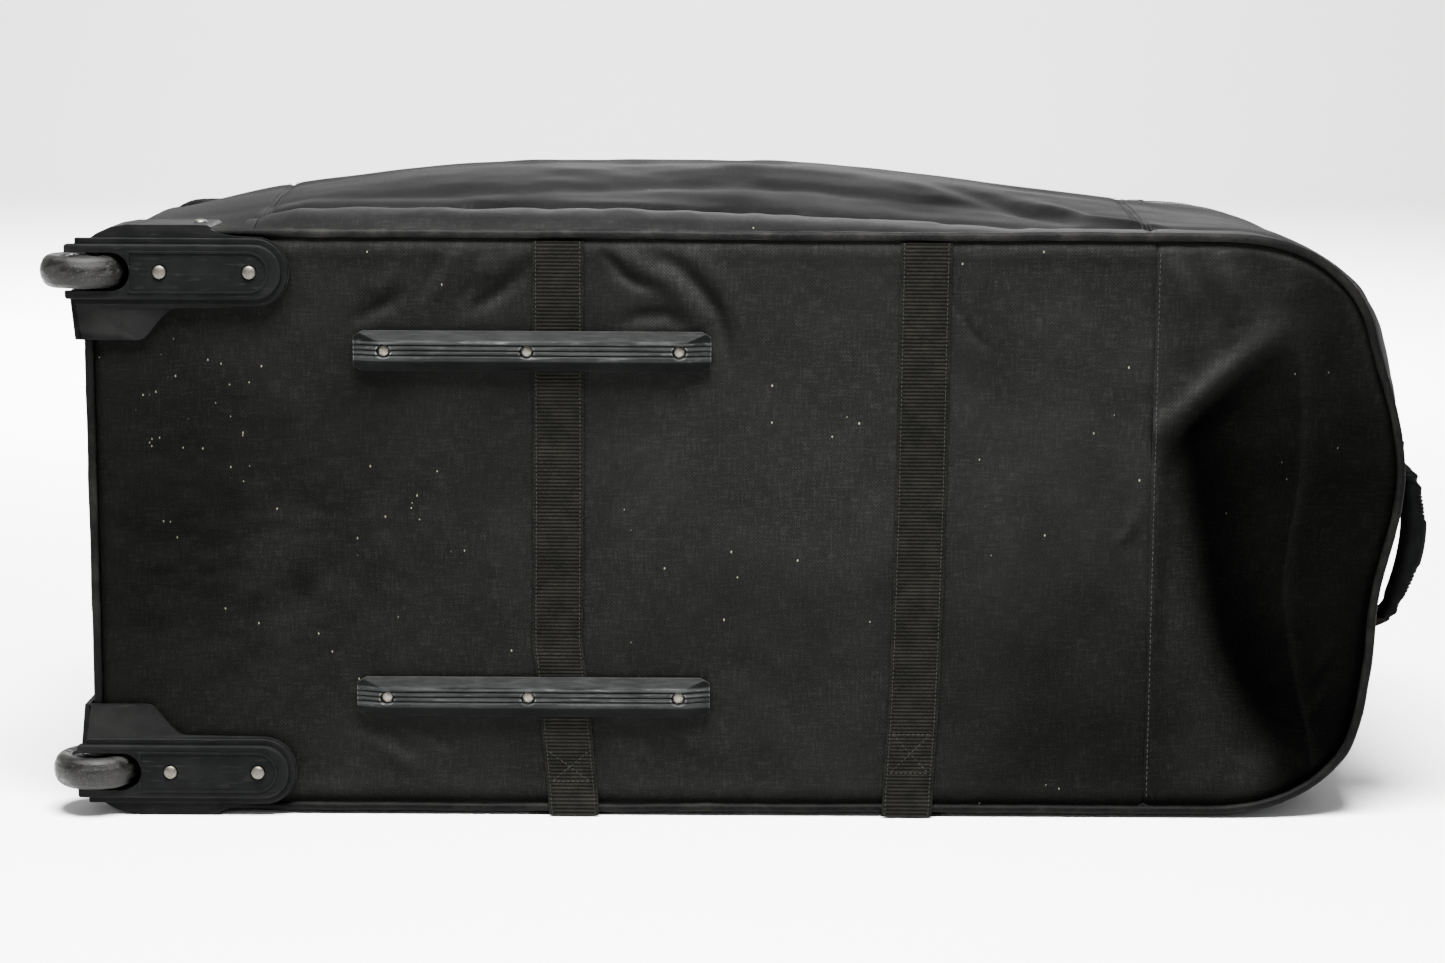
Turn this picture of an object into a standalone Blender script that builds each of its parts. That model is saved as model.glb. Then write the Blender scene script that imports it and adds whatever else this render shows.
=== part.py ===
"""A wheeled gear bag, lying on its long side with its underside facing -Y.

All sizes are in millimetres and MM turns them into Blender's metres. Three
numbers place a point: x runs along the bag from the wheels (-) to the grab
handle (+), w runs across its width from the middle line, and d runs from the
underside (0) through the bag's depth to the lid. In the world x is +X, w is
height and d is +Y.
"""

from math import atan2, cos, degrees, hypot, pi, radians, sin, sqrt

import bmesh
import bpy
from mathutils import Matrix, Vector

MM = 0.001
GAP = 0.3

# The bag's outline, and its depth from the underside to the lid.
HEEL_X = -479.0
HALF_WIDTH = 214.0
HEEL_RADIUS = 28.0
NOSE_CENTRE_X = 167.0
NOSE_RADIUS = 330.0
NOSE_CORNER_RADIUS = 110.0
DEPTH = 335.0
MIDDLE_HEIGHT = 223.5
UNDERSIDE_Y = -157.0

# Sheet thicknesses, and the depths where one sheet hands over to the next.
FABRIC = 4.0
WALL_START = 4.6
WALL_END = 283.0
TAPE_WIDTH = 6.4
TAPE_THICK = 2.0
GUSSET_START = WALL_END + 2 * TAPE_WIDTH + 3 * GAP
GUSSET_END = DEPTH - WALL_START - 1.0
HEEL_SEAM_X = -360.0
NOSE_SEAM_X = 309.0

# How far the sides swell past the outline.
UPPER_SWELL = 36.0
ZIP_SWELL = 10.0
LOWER_FRONT_SWELL = 7.0
LOWER_SWELL = 9.5
LOWER_ZIP_SWELL = 3.0
END_SWELL = 8.0

PIPING_RADIUS = 3.3
PIPING_OUT = 3.6
BOARD_THICK = 3.0
BOARD_INSET = 14.0

# Webbing across the underside, and the carry handle that its tails make.
WEBBING_WIDTH = 38.0
WEBBING_THICK = 1.7
STRAP_XS = {"rear": -135.0, "front": 137.0}
STRAP_DEPTH = -2.1
LOOP_DEPTH = 150.0
LOOP_GRIP_HALF = 58.0

# Moulded rails.
RAIL_START = -286.0
RAIL_END = -20.0
RAIL_W = 131.0
RAIL_BACK = -2.4
RAIL_CREST = -11.5
RAIL_RIVET_XS = (-263.0, -157.0, -44.0)

# Wheels and their corner housings.
AXLE_X = -485.5
AXLE_D = 6.0
AXLE_W = 189.0
AXLE_RADIUS = 4.0
WHEEL_RADIUS = 32.5
WHEEL_WIDTH = 24.0
HUB_RADIUS = 20.0
BEARING_RADIUS = 11.0
BEARING_WIDTH = 7.0
SLOT_HALF = 14.25
CHEEK_THICK = 6.5
PLATE_BACK = -3.0
PLATE_FRONT = -6.0
BULGE_FRONT = -11.5
HOUSING_END_X = -358.0
HOUSING_RADIUS = 26.0
FLANGE_W = 223.5
FLANGE_THICK = 2.2
FLANGE_D = 50.0
BUCKET_X = -446.0
BUCKET_D = 43.0
HOUSING_RIVET_XS = (-427.0, -361.0)
SIDE_RIVET_X = -402.0
SIDE_RIVET_D = 26.0

RIVET_HEAD = 5.0
RIVET_SHANK = 2.0
RIVET_HOLE = 2.5

# Grab handle on the nose, and the zip's slider.
GRAB_W = -16.0
GRAB_HALF = 56.0
GRAB_PIVOT_X = 508.0
GRAB_D = 34.0
GRAB_REACH = 9.5
GRAB_THICK = 18.0
GRAB_WIDE = 26.0
ANCHOR_CLEAR = 1.2
SLIDER_X = 330.0
SLIDER_LENGTH = 14.0
SLIDER_HEIGHT = 2.6
PULL_LENGTH = 30.0

SIDES = {"upper": 1, "lower": -1}

# Colour, metallic and roughness of each material.
FINISHES = {
    "nylon": ((0.016, 0.017, 0.018), 0.0, 0.75),
    "webbing": ((0.024, 0.025, 0.023), 0.0, 0.8),
    "piping": ((0.020, 0.020, 0.019), 0.0, 0.6),
    "board": ((0.030, 0.030, 0.030), 0.0, 0.7),
    "moulding": ((0.022, 0.023, 0.024), 0.0, 0.5),
    "tread": ((0.080, 0.078, 0.072), 0.0, 0.8),
    "hub": ((0.040, 0.040, 0.042), 0.0, 0.5),
    "rivet": ((0.42, 0.41, 0.38), 1.0, 0.4),
    "steel": ((0.50, 0.50, 0.50), 1.0, 0.3),
    "grip": ((0.012, 0.014, 0.013), 0.0, 0.7),
}


def clear_scene():
    for obj in list(bpy.data.objects):
        bpy.data.objects.remove(obj, do_unlink=True)


def finish_material(name):
    material = bpy.data.materials.get(name) or bpy.data.materials.new(name)
    colour, metallic, roughness = FINISHES[name]
    material.use_nodes = True
    shader = material.node_tree.nodes["Principled BSDF"]
    shader.inputs["Base Color"].default_value = (*colour, 1.0)
    shader.inputs["Metallic"].default_value = metallic
    shader.inputs["Roughness"].default_value = roughness
    return material


def place(x, w, d):
    """World coordinates of a point given along, across and through the bag."""
    return (x * MM, (d + UNDERSIDE_Y) * MM, (MIDDLE_HEIGHT + w) * MM)


def as_object(name, mesh, material):
    obj = bpy.data.objects.new(name, mesh)
    bpy.context.scene.collection.objects.link(obj)
    mesh.materials.append(finish_material(material))
    return obj


def solid(name, verts, faces, material, smooth=False):
    """One object from points given in (x, w, d), its faces turned outwards."""
    mesh = bpy.data.meshes.new(name)
    body = bmesh.new()
    made = [body.verts.new(place(*point)) for point in verts]
    for face in faces:
        body.faces.new([made[i] for i in face])
    bmesh.ops.recalc_face_normals(body, faces=body.faces)
    body.to_mesh(mesh)
    body.free()
    if smooth:
        mesh.shade_smooth()
        mesh.set_sharp_from_angle(angle=radians(40))
    return as_object(name, mesh, material)


def loft(name, rings, material, smooth=True, closed=False):
    """Skin over rings of equally many points. An open skin gets an end cap on each side."""
    count = len(rings[0])
    verts = [point for ring in rings for point in ring]
    faces = []
    spans = len(rings) if closed else len(rings) - 1
    for i in range(spans):
        near = i * count
        far = ((i + 1) % len(rings)) * count
        for j in range(count):
            k = (j + 1) % count
            faces.append((near + j, near + k, far + k, far + j))
    if not closed:
        faces.append(tuple(range(count)))
        faces.append(tuple(reversed(range(len(verts) - count, len(verts)))))
    return solid(name, verts, faces, material, smooth)


def slab(name, outline, low, high, material):
    """A flat outline in (x, w), filled from depth low to depth high."""
    rings = [[(x, w, d) for x, w in outline] for d in (low, high)]
    return loft(name, rings, material, smooth=False)


def box(name, x, w, d, material="moulding"):
    outline = [(x[0], w[0]), (x[1], w[0]), (x[1], w[1]), (x[0], w[1])]
    return slab(name, outline, d[0], d[1], material)


def turned(name, profile, centre, axis, material, steps=16, smooth=True):
    """A lathe shape. The profile lists (radius, distance along the axis), on and off the axis."""
    rings = []
    for i in range(steps):
        a = 2 * pi * i / steps
        ring = []
        for radius, along in profile:
            across = {
                "d": (radius * cos(a), radius * sin(a), along),
                "w": (radius * cos(a), along, radius * sin(a)),
            }[axis]
            ring.append(tuple(c + o for c, o in zip(centre, across)))
        rings.append(ring)
    obj = loft(name, rings, material, smooth, closed=True)
    weld(obj)
    return obj


def weld(obj):
    """Merges the copies of points that lie on a lathe's axis."""
    body = bmesh.new()
    body.from_mesh(obj.data)
    bmesh.ops.remove_doubles(body, verts=body.verts, dist=0.00001)
    bmesh.ops.recalc_face_normals(body, faces=body.faces)
    body.to_mesh(obj.data)
    body.free()


def helper(obj):
    obj.hide_render = True
    obj.display_type = "WIRE"
    return obj


def combine(target, operation, others):
    for other in others:
        change = target.modifiers.new(other.name, "BOOLEAN")
        change.operation = operation
        change.solver = "EXACT"
        change.object = helper(other)


def re_origin(obj, x, w, d):
    """Moves an object's origin to a point and leaves its shape where it is."""
    where = Vector(place(x, w, d))
    obj.data.transform(Matrix.Translation(-where))
    obj.location = where


def smoothstep(low, high, value):
    t = min(max((value - low) / (high - low), 0.0), 1.0)
    return t * t * (3 - 2 * t)


# The outline: a list of stations, each (x, w, outward x, outward w).


def straight(start, end, out, count):
    steps = [i / count for i in range(count + 1)]
    return [
        (start[0] + (end[0] - start[0]) * t, start[1] + (end[1] - start[1]) * t, *out) for t in steps
    ]


def arc(centre, radius, first, last, count):
    stations = []
    for i in range(count + 1):
        a = radians(first + (last - first) * i / count)
        stations.append((centre[0] + radius * cos(a), centre[1] + radius * sin(a), cos(a), sin(a)))
    return stations


def chain(*pieces):
    """Joins runs of stations and drops the points that they share."""
    joined = []
    for piece in pieces:
        joined += piece[1:] if joined else piece
    return joined


def nose_corner():
    """Centre of the upper nose corner's arc, and the angle where it meets the nose's arc."""
    w = HALF_WIDTH - NOSE_CORNER_RADIUS
    reach = NOSE_RADIUS - NOSE_CORNER_RADIUS
    run = sqrt(reach * reach - w * w)
    return NOSE_CENTRE_X + run, w, degrees(atan2(w, run))


def nose_stations():
    """From the upper nose corner, round the nose, to the lower one."""
    x, w, meet = nose_corner()
    return chain(
        arc((x, w), NOSE_CORNER_RADIUS, 90, meet, 6),
        arc((NOSE_CENTRE_X, 0), NOSE_RADIUS, meet, -meet, 10),
        arc((x, -w), NOSE_CORNER_RADIUS, -meet, -90, 6),
    )


def side_stations(side, first, last, count):
    return straight((first, side * HALF_WIDTH), (last, side * HALF_WIDTH), (0, side), count)


def heel_stations():
    """From the lower side seam, round the wheel end, to the upper side seam."""
    x = HEEL_X + HEEL_RADIUS
    w = HALF_WIDTH - HEEL_RADIUS
    return chain(
        side_stations(-1, HEEL_SEAM_X, x, 2),
        arc((x, -w), HEEL_RADIUS, -90, -180, 5),
        straight((HEEL_X, -w), (HEEL_X, w), (-1, 0), 6),
        arc((x, w), HEEL_RADIUS, 180, 90, 5),
        side_stations(1, x, HEEL_SEAM_X, 2),
    )


def zip_stations(start_x):
    """The three sides that the zip runs along, from the upper heel seam to the lower one."""
    x = nose_corner()[0]
    return chain(
        side_stations(1, start_x, x, 14),
        nose_stations(),
        side_stations(-1, x, start_x, 14),
    )


def upper_swell(x):
    """How much of its full swell the upper side has at a point along the bag."""
    if x < -150:
        return 1 - min((-150 - x) / 329, 1) ** 2
    if x > 16:
        return 1 - min((x - 16) / 404, 1) ** 1.2
    return 1.0


def swell(x, out_x, out_w, d):
    """How far past the outline the side stands, at one station and depth."""
    puff = sin(pi * min(max((d - 8) / 262, 0), 1)) ** 0.75
    if x < -370:
        puff *= smoothstep(55, 120, d)
    flat = smoothstep(60, 250, d) * smoothstep(-4, -30, d - GUSSET_END)
    end = abs(out_x) * END_SWELL * sin(pi * d / DEPTH) ** 0.75
    if out_w >= 0:
        return end + out_w * (UPPER_SWELL * upper_swell(x) * puff + ZIP_SWELL * flat)
    front = LOWER_FRONT_SWELL * smoothstep(8, 40, d)
    rest = (LOWER_SWELL - LOWER_FRONT_SWELL) * smoothstep(172, 190, d)
    lift = (LOWER_SWELL - LOWER_ZIP_SWELL) * smoothstep(255, 275, d)
    hem = LOWER_ZIP_SWELL * smoothstep(-12, -1, d - GUSSET_END)
    if x < -370:
        front *= smoothstep(52, 90, d)
        rest = (LOWER_SWELL - LOWER_FRONT_SWELL) * smoothstep(110, 190, d)
    return end - out_w * (front + rest - lift - hem)


def skin_point(station, d, inward):
    x, w, out_x, out_w = station
    reach = swell(x, out_x, out_w, d) - inward
    return (x + out_x * reach, w + out_w * reach, d)


def sheet(name, stations, depths, thick, material, inset=0.0):
    """A sheet that follows the bag's side, between two of its depths."""
    rings = []
    for station in stations:
        outer = [skin_point(station, d, inset) for d in depths]
        inner = [skin_point(station, d, inset + thick) for d in reversed(depths)]
        rings.append(outer + inner)
    count = len(rings[0])
    half = count // 2
    verts = [point for ring in rings for point in ring]
    faces = []
    for i in range(len(rings) - 1):
        near = i * count
        for j in range(count):
            k = (j + 1) % count
            faces.append((near + j, near + k, near + count + k, near + count + j))
    for base in (0, len(verts) - count):
        for j in range(half - 1):
            faces.append((base + j, base + j + 1, base + count - 2 - j, base + count - 1 - j))
    return solid(name, verts, faces, material, smooth=True)


def shifted(stations, along):
    """The same stations with the first and last moved inwards, for a gap at each end."""
    moved = list(stations)
    for index, neighbour in ((0, 1), (-1, -2)):
        x, w, out_x, out_w = moved[index]
        nx, nw = moved[neighbour][:2]
        reach = hypot(nx - x, nw - w)
        moved[index] = (x + (nx - x) * along / reach, w + (nw - w) * along / reach, out_x, out_w)
    return moved


def wall_depths(end):
    rows = [WALL_START, 9, 20, 40, 62, 90, 120, 150, 172, 190, 222, 255, 275]
    return [d for d in rows if d < end - 2] + [end]


def make_walls():
    corner = nose_corner()[0]
    depths = wall_depths(WALL_END)
    upper = shifted(side_stations(1, HEEL_SEAM_X, corner, 14), GAP / 2)
    lower = shifted(side_stations(-1, corner, HEEL_SEAM_X, 8), GAP / 2)
    nose = shifted(nose_stations(), GAP / 2)
    heel_depths = wall_depths(GUSSET_END - 12) + [GUSSET_END]
    heel = shifted(heel_stations(), GAP / 2)
    sheet("upper_side_wall", upper, depths, FABRIC, "nylon")
    sheet("lower_side_wall", lower, depths, FABRIC, "nylon")
    sheet("nose_wall", nose, [d for d in depths if d not in (9, 62, 120, 172)], FABRIC, "nylon")
    return sheet("wheel_end_wall", heel, heel_depths, FABRIC, "nylon")


def make_lid_sides():
    stations = zip_stations(HEEL_SEAM_X + GAP)
    middle = (FABRIC - TAPE_THICK) / 2
    tape_start = WALL_END + GAP
    lid_tape = tape_start + TAPE_WIDTH + GAP
    for name, start in (("zip_tape_body", tape_start), ("zip_tape_lid", lid_tape)):
        sheet(name, stations, [start, start + TAPE_WIDTH], TAPE_THICK, "webbing", middle)
    depths = [GUSSET_START, GUSSET_START + 14, GUSSET_END - 8, GUSSET_END]
    sheet("lid_gusset", stations, depths, FABRIC, "nylon")


def outline_points(stations, inset):
    return [(x - out_x * inset, w - out_w * inset) for x, w, out_x, out_w in stations]


def panel_outlines(inset, seam_x):
    """The heel part and the nose part of the outline, split at a seam across the bag."""
    edge = HALF_WIDTH - inset
    heel = [p for p in outline_points(heel_stations(), inset) if p[0] < min(seam_x, HEEL_SEAM_X + 1)]
    heel += [(seam_x - GAP / 2, edge), (seam_x - GAP / 2, -edge)]
    nose = [(seam_x + GAP / 2, -edge), (seam_x + GAP / 2, edge)]
    return heel, nose + outline_points(nose_stations(), inset)


def make_panels():
    heel, nose = panel_outlines(0.5, NOSE_SEAM_X)
    base = slab("base_panel", heel, 0, FABRIC, "nylon")
    slab("nose_panel", nose, 0, FABRIC, "nylon")
    heel, nose = panel_outlines(0.5, HEEL_SEAM_X)
    slab("lid_heel_panel", heel, DEPTH - FABRIC, DEPTH, "nylon")
    slab("lid_panel", nose, DEPTH - FABRIC, DEPTH, "nylon")
    return base


def make_board():
    edge = HALF_WIDTH - BOARD_INSET
    low = FABRIC + GAP
    x = (BUCKET_X + 6, NOSE_SEAM_X - BOARD_INSET)
    return box("base_board", x, (-edge, edge), (low, low + BOARD_THICK), "board")


def piping_rings(stations, d):
    rings = []
    for x, w, out_x, out_w in stations:
        ring = []
        for i in range(6):
            a = 2 * pi * i / 6
            reach = PIPING_OUT + PIPING_RADIUS * cos(a)
            ring.append((x + out_x * reach, w + out_w * reach, d + PIPING_RADIUS * sin(a)))
        rings.append(ring)
    return rings


def make_piping():
    around = zip_stations(BUCKET_X + 6)
    heel_reach = AXLE_W - SLOT_HALF - CHEEK_THICK - 6
    end = straight((HEEL_X, -heel_reach), (HEEL_X, heel_reach), (-1, 0), 2)
    loft("piping_base", piping_rings(around, 0.6), "piping")
    loft("piping_wheel_end", piping_rings(end, 0.6), "piping")
    lid_d = DEPTH - 0.6
    loft("piping_lid", piping_rings(zip_stations(HEEL_SEAM_X + GAP), lid_d), "piping")
    loft("piping_lid_heel", piping_rings(shifted(heel_stations(), GAP), lid_d), "piping")


def make_strap(side, x):
    """Webbing down the underside. Its tail wraps over the lower piping."""
    half = WEBBING_WIDTH / 2
    top = HALF_WIDTH - 3
    path = [(top, -1.2), (-200, -1.2), (-209, -2.2), (-214, -4.2), (-219, -5.0)]
    band(f"strap_{side}", [(x, w, d) for w, d in path], half, WEBBING_THICK, "webbing")


def band(name, path, half, thick, material):
    """A flat band of webbing that runs in the w-d plane."""
    rings = []
    for i, (x, w, d) in enumerate(path):
        before = path[max(i - 1, 0)]
        after = path[min(i + 1, len(path) - 1)]
        run_w, run_d = after[1] - before[1], after[2] - before[2]
        length = hypot(run_w, run_d)
        out_w, out_d = -run_d / length * thick / 2, run_w / length * thick / 2
        rings.append(
            [
                (x - half, w + out_w, d + out_d),
                (x + half, w + out_w, d + out_d),
                (x + half, w - out_w, d - out_d),
                (x - half, w - out_w, d - out_d),
            ]
        )
    return loft(name, rings, material)


def make_carry_handle():
    """A loop of webbing folded under the lower side, with a sleeve round its middle."""
    floor = -MIDDLE_HEIGHT + 0.2
    low, high = floor, floor + WEBBING_THICK
    half = WEBBING_WIDTH / 2
    start_d = 1.0
    for side, x in STRAP_XS.items():
        inward = -1 if x > 0 else 1
        rings = []
        for i in range(9):
            t = i / 8
            cx = x + inward * (abs(x) - LOOP_GRIP_HALF - 2) * smoothstep(0, 1, t) * 0.9
            cd = start_d + (LOOP_DEPTH - start_d) * t
            near, far = cx - half, cx + half
            rings.append([(near, low, cd), (far, low, cd), (far, high, cd), (near, high, cd)])
        end_x = -inward * LOOP_GRIP_HALF
        leg = loft(f"carry_handle_leg_{side}", rings, "webbing")
        re_origin(leg, end_x, low, start_d)
    grip_d = (LOOP_DEPTH + GAP, LOOP_DEPTH + 17)
    grip = box("carry_handle_grip", (-92, 92), (low, high + 0.2), grip_d, "grip")
    re_origin(grip, 0, low, LOOP_DEPTH)


def rail_section(crest):
    """Half widths and depths of a rail, which carries three ridges and two grooves."""
    groove = crest + 1.0 if crest < RAIL_BACK - 4 else crest
    return [
        (-15, RAIL_BACK),
        (-15, RAIL_BACK - 1.6),
        (-6.5, crest),
        (-3.4, crest),
        (-2.6, groove),
        (2.6, groove),
        (3.4, crest),
        (6.5, crest),
        (15, RAIL_BACK - 1.6),
        (15, RAIL_BACK),
    ]


def make_rail(side, sign):
    rings = []
    low_end = RAIL_BACK - 1.8
    for x, crest, squeeze in (
        (RAIL_START, low_end, 0.55),
        (RAIL_START + 6, low_end - 2.5, 1.0),
        (RAIL_START + 18, RAIL_CREST, 1.0),
        (RAIL_END - 18, RAIL_CREST, 1.0),
        (RAIL_END - 6, low_end - 2.5, 1.0),
        (RAIL_END, low_end, 0.55),
    ):
        rings.append([(x, sign * RAIL_W + across * squeeze, d) for across, d in rail_section(crest)])
    rail = loft(f"skid_rail_{side}", rings, "moulding", smooth=False)
    cuts = []
    for i, x in enumerate(RAIL_RIVET_XS):
        well = [(0, -20), (7.0, -20), (7.0, RAIL_BACK - 3.2), (0, RAIL_BACK - 3.2)]
        centre = (x, sign * RAIL_W, 0)
        cuts.append(turned(f"well_{side}_{i}", well, centre, "d", "moulding", 12))
        make_rivet(f"rail_rivet_{side}_{i + 1}", centre, RAIL_BACK - 3.2 - GAP)
    combine(rail, "DIFFERENCE", cuts)
    return rail, [(x, sign * RAIL_W) for x in RAIL_RIVET_XS]


def make_rivet(name, centre, seat):
    """A domed rivet that clamps a moulding, the underside and the board together."""
    tail = FABRIC + GAP + BOARD_THICK + GAP
    profile = [
        (0, seat - 2.4),
        (RIVET_HEAD * 0.55, seat - 2.0),
        (RIVET_HEAD * 0.9, seat - 1.1),
        (RIVET_HEAD, seat),
        (RIVET_SHANK, seat),
        (RIVET_SHANK, tail),
        (RIVET_HEAD * 0.8, tail),
        (RIVET_HEAD * 0.8, tail + 1.0),
        (0, tail + 1.0),
    ]
    return turned(name, profile, (centre[0], centre[1], 0), "d", "rivet", 10)


def rivet_holes(label, spots):
    profile = [(0, -20), (RIVET_HOLE, -20), (RIVET_HOLE, 12), (0, 12)]
    return [
        turned(f"{label}_{i}", profile, (x, w, 0), "d", "moulding", 8) for i, (x, w) in enumerate(spots)
    ]


def mirrored(points, sign):
    return [(x, sign * w) for x, w in points]


def housing_plate():
    """The front plate's outline: a long tongue with a round end and a flange to each side."""
    tongue = arc((HOUSING_END_X, AXLE_W), HOUSING_RADIUS, 80, -90, 8)
    return [
        (-497.5, 206.5),
        (-483, 210.5),
        (-474, 217.0),
        (-464, 221.5),
        (-452, FLANGE_W),
        (-400, FLANGE_W),
        (-392, 222.0),
        (-384, 217.5),
        (-372, 215.3),
        *[(x, w) for x, w, _, _ in tongue],
        (-414, AXLE_W - HOUSING_RADIUS),
        (-421, 160.5),
        (-426, 156),
        (-441, 138),
        (-491.5, 138),
    ]


def housing_bulge():
    """The raised tongue on the front plate."""
    radius = HOUSING_RADIUS - 5.5
    tongue = arc((HOUSING_END_X, AXLE_W), radius, 90, -90, 8)
    return [(-497.5, AXLE_W + radius), *[(x, w) for x, w, _, _ in tongue], (-497.5, AXLE_W - radius)]


def housing_skirt():
    """The rim that wraps round the bag's corner, seen along its depth."""
    inner = FLANGE_W - FLANGE_THICK
    return [
        (-491.5, 138),
        (-494.5, 168),
        (-494.5, 207),
        (-483, 210.5),
        (-474, 217.0),
        (-464, 221.5),
        (-452, FLANGE_W),
        (-392, FLANGE_W),
        (-389, inner),
        (-452, inner),
        (-463, 219.2),
        (-472, 214.8),
        (-480, 209.0),
        (-480, 206),
        (-487.6, 206),
        (-487.6, 168),
        (-487.6, 138),
    ]


def make_housing(side, sign):
    cheek = SLOT_HALF + CHEEK_THICK
    outline = mirrored(housing_plate(), sign)
    plate = slab(f"wheel_housing_{side}", outline, PLATE_FRONT, PLATE_BACK, "moulding")
    bulge = slab(f"bulge_{side}", mirrored(housing_bulge(), sign), BULGE_FRONT, PLATE_BACK - 0.5, "moulding")
    skirt = slab(f"skirt_{side}", mirrored(housing_skirt(), sign), PLATE_FRONT + 0.4, FLANGE_D, "moulding")
    bucket_w = sorted((sign * (AXLE_W - cheek), sign * (AXLE_W + cheek)))
    bucket = box(f"bucket_{side}", (-492.5, BUCKET_X), bucket_w, (PLATE_FRONT + 0.6, BUCKET_D))
    boss = [(0, -cheek + 0.2), (12.5, -cheek + 0.2), (12.5, cheek - 0.2), (0, cheek - 0.2)]
    eye = turned(f"eye_{side}", boss, (AXLE_X, sign * AXLE_W, AXLE_D), "w", "moulding", 20)
    combine(plate, "UNION", [bulge, skirt, bucket, eye])
    slot_w = sorted((sign * (AXLE_W - SLOT_HALF), sign * (AXLE_W + SLOT_HALF)))
    slot_end = BUCKET_X - 3 - SLOT_HALF
    slot = box(f"slot_{side}", (-540, slot_end), slot_w, (-40, BUCKET_D - 3))
    rounded = [(0, -40), (SLOT_HALF, -40), (SLOT_HALF, BUCKET_D - 3.01), (0, BUCKET_D - 3.01)]
    nose = turned(f"slot_end_{side}", rounded, (slot_end, sign * AXLE_W, 0), "d", "moulding", 20)
    bore = [(0, -40), (AXLE_RADIUS + 0.15, -40), (AXLE_RADIUS + 0.15, 40), (0, 40)]
    axle_hole = turned(f"axle_hole_{side}", bore, (AXLE_X, sign * AXLE_W, AXLE_D), "w", "moulding", 16)
    combine(plate, "DIFFERENCE", [slot, nose, axle_hole])
    spots = [(x, sign * AXLE_W) for x in HOUSING_RIVET_XS]
    for i, (x, w) in enumerate(spots):
        make_rivet(f"housing_rivet_{side}_{i + 1}", (x, w), BULGE_FRONT - GAP)
    make_side_rivet(side, sign)
    return plate, spots


def make_side_rivet(side, sign):
    """A rivet through the housing's rim and the bag's side. The one the bag lies on has no head."""
    tail = HALF_WIDTH - FABRIC - GAP
    seat = FLANGE_W + GAP
    back_head = RIVET_HEAD * 0.8
    if sign > 0:
        head = [(0, seat + 1.8), (back_head, seat + 1.4), (RIVET_HEAD, seat), (RIVET_SHANK, seat)]
    else:
        head = [(0, FLANGE_W - 0.2), (RIVET_SHANK, FLANGE_W - 0.2)]
    profile = head + [(RIVET_SHANK, tail), (back_head, tail), (back_head, tail - 1), (0, tail - 1)]
    centre = (SIDE_RIVET_X, 0, SIDE_RIVET_D)
    turned(f"side_rivet_{side}", [(r, sign * along) for r, along in profile], centre, "w", "rivet", 10)


def side_holes(label):
    """Cutters for the side rivets' holes, one through each side."""
    holes = []
    for side, sign in SIDES.items():
        ends = sorted((sign * 200, sign * 230))
        profile = [(0, ends[0]), (RIVET_HOLE, ends[0]), (RIVET_HOLE, ends[1]), (0, ends[1])]
        centre = (SIDE_RIVET_X, 0, SIDE_RIVET_D)
        holes.append(turned(f"{label}_{side}", profile, centre, "w", "moulding", 8))
    return holes


def bucket_cutters(label):
    """Room for the wheel buckets in the fabric at the bag's two heel corners."""
    low = AXLE_W - SLOT_HALF - CHEEK_THICK - GAP
    cutters = []
    for side, sign in SIDES.items():
        w = sorted((sign * low, sign * 260))
        cutters.append(box(f"{label}_{side}", (-540, BUCKET_X + GAP), w, (-20, BUCKET_D + GAP)))
    return cutters


def make_wheel(side, sign):
    """Axle, two bearings, hub and tyre, all on one line across the bag's width."""
    centre = (AXLE_X, sign * AXLE_W, AXLE_D)
    reach = SLOT_HALF + CHEEK_THICK - 1.0
    axle = [(0, -reach), (AXLE_RADIUS, -reach), (AXLE_RADIUS, reach), (0, reach)]
    turned(f"axle_{side}", axle, centre, "w", "steel", 16)
    bore = AXLE_RADIUS + 0.3
    inner = SLOT_HALF - 2.6 - BEARING_WIDTH
    for label, low in (("inner", -inner - BEARING_WIDTH), ("outer", inner)):
        high = low + BEARING_WIDTH
        ring = [(bore, low), (BEARING_RADIUS, low), (BEARING_RADIUS, high), (bore, high)]
        obj = turned(f"bearing_{side}_{label}", ring, centre, "w", "steel", 20)
        re_origin(obj, *centre)
    face = WHEEL_WIDTH / 2 - 1
    seat = BEARING_RADIUS + GAP
    lip = inner - GAP
    hub = [
        (seat, -face),
        (HUB_RADIUS, -face),
        (HUB_RADIUS, face),
        (seat, face),
        (seat, lip),
        (bore + 3, lip),
        (bore + 3, -lip),
        (seat, -lip),
    ]
    re_origin(turned(f"hub_{side}", hub, centre, "w", "hub", 24), *centre)
    half = WHEEL_WIDTH / 2
    inside = HUB_RADIUS + GAP
    tyre = [(inside, -half + 1), (inside, half - 1), (24.5, half)]
    for i in range(7):
        a = radians(80 - 160 * i / 6)
        tyre.append((WHEEL_RADIUS - 8 + 8 * cos(a), half * sin(a)))
    tyre.append((24.5, -half))
    re_origin(turned(f"tyre_{side}", tyre, centre, "w", "tread", 28), *centre)


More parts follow.
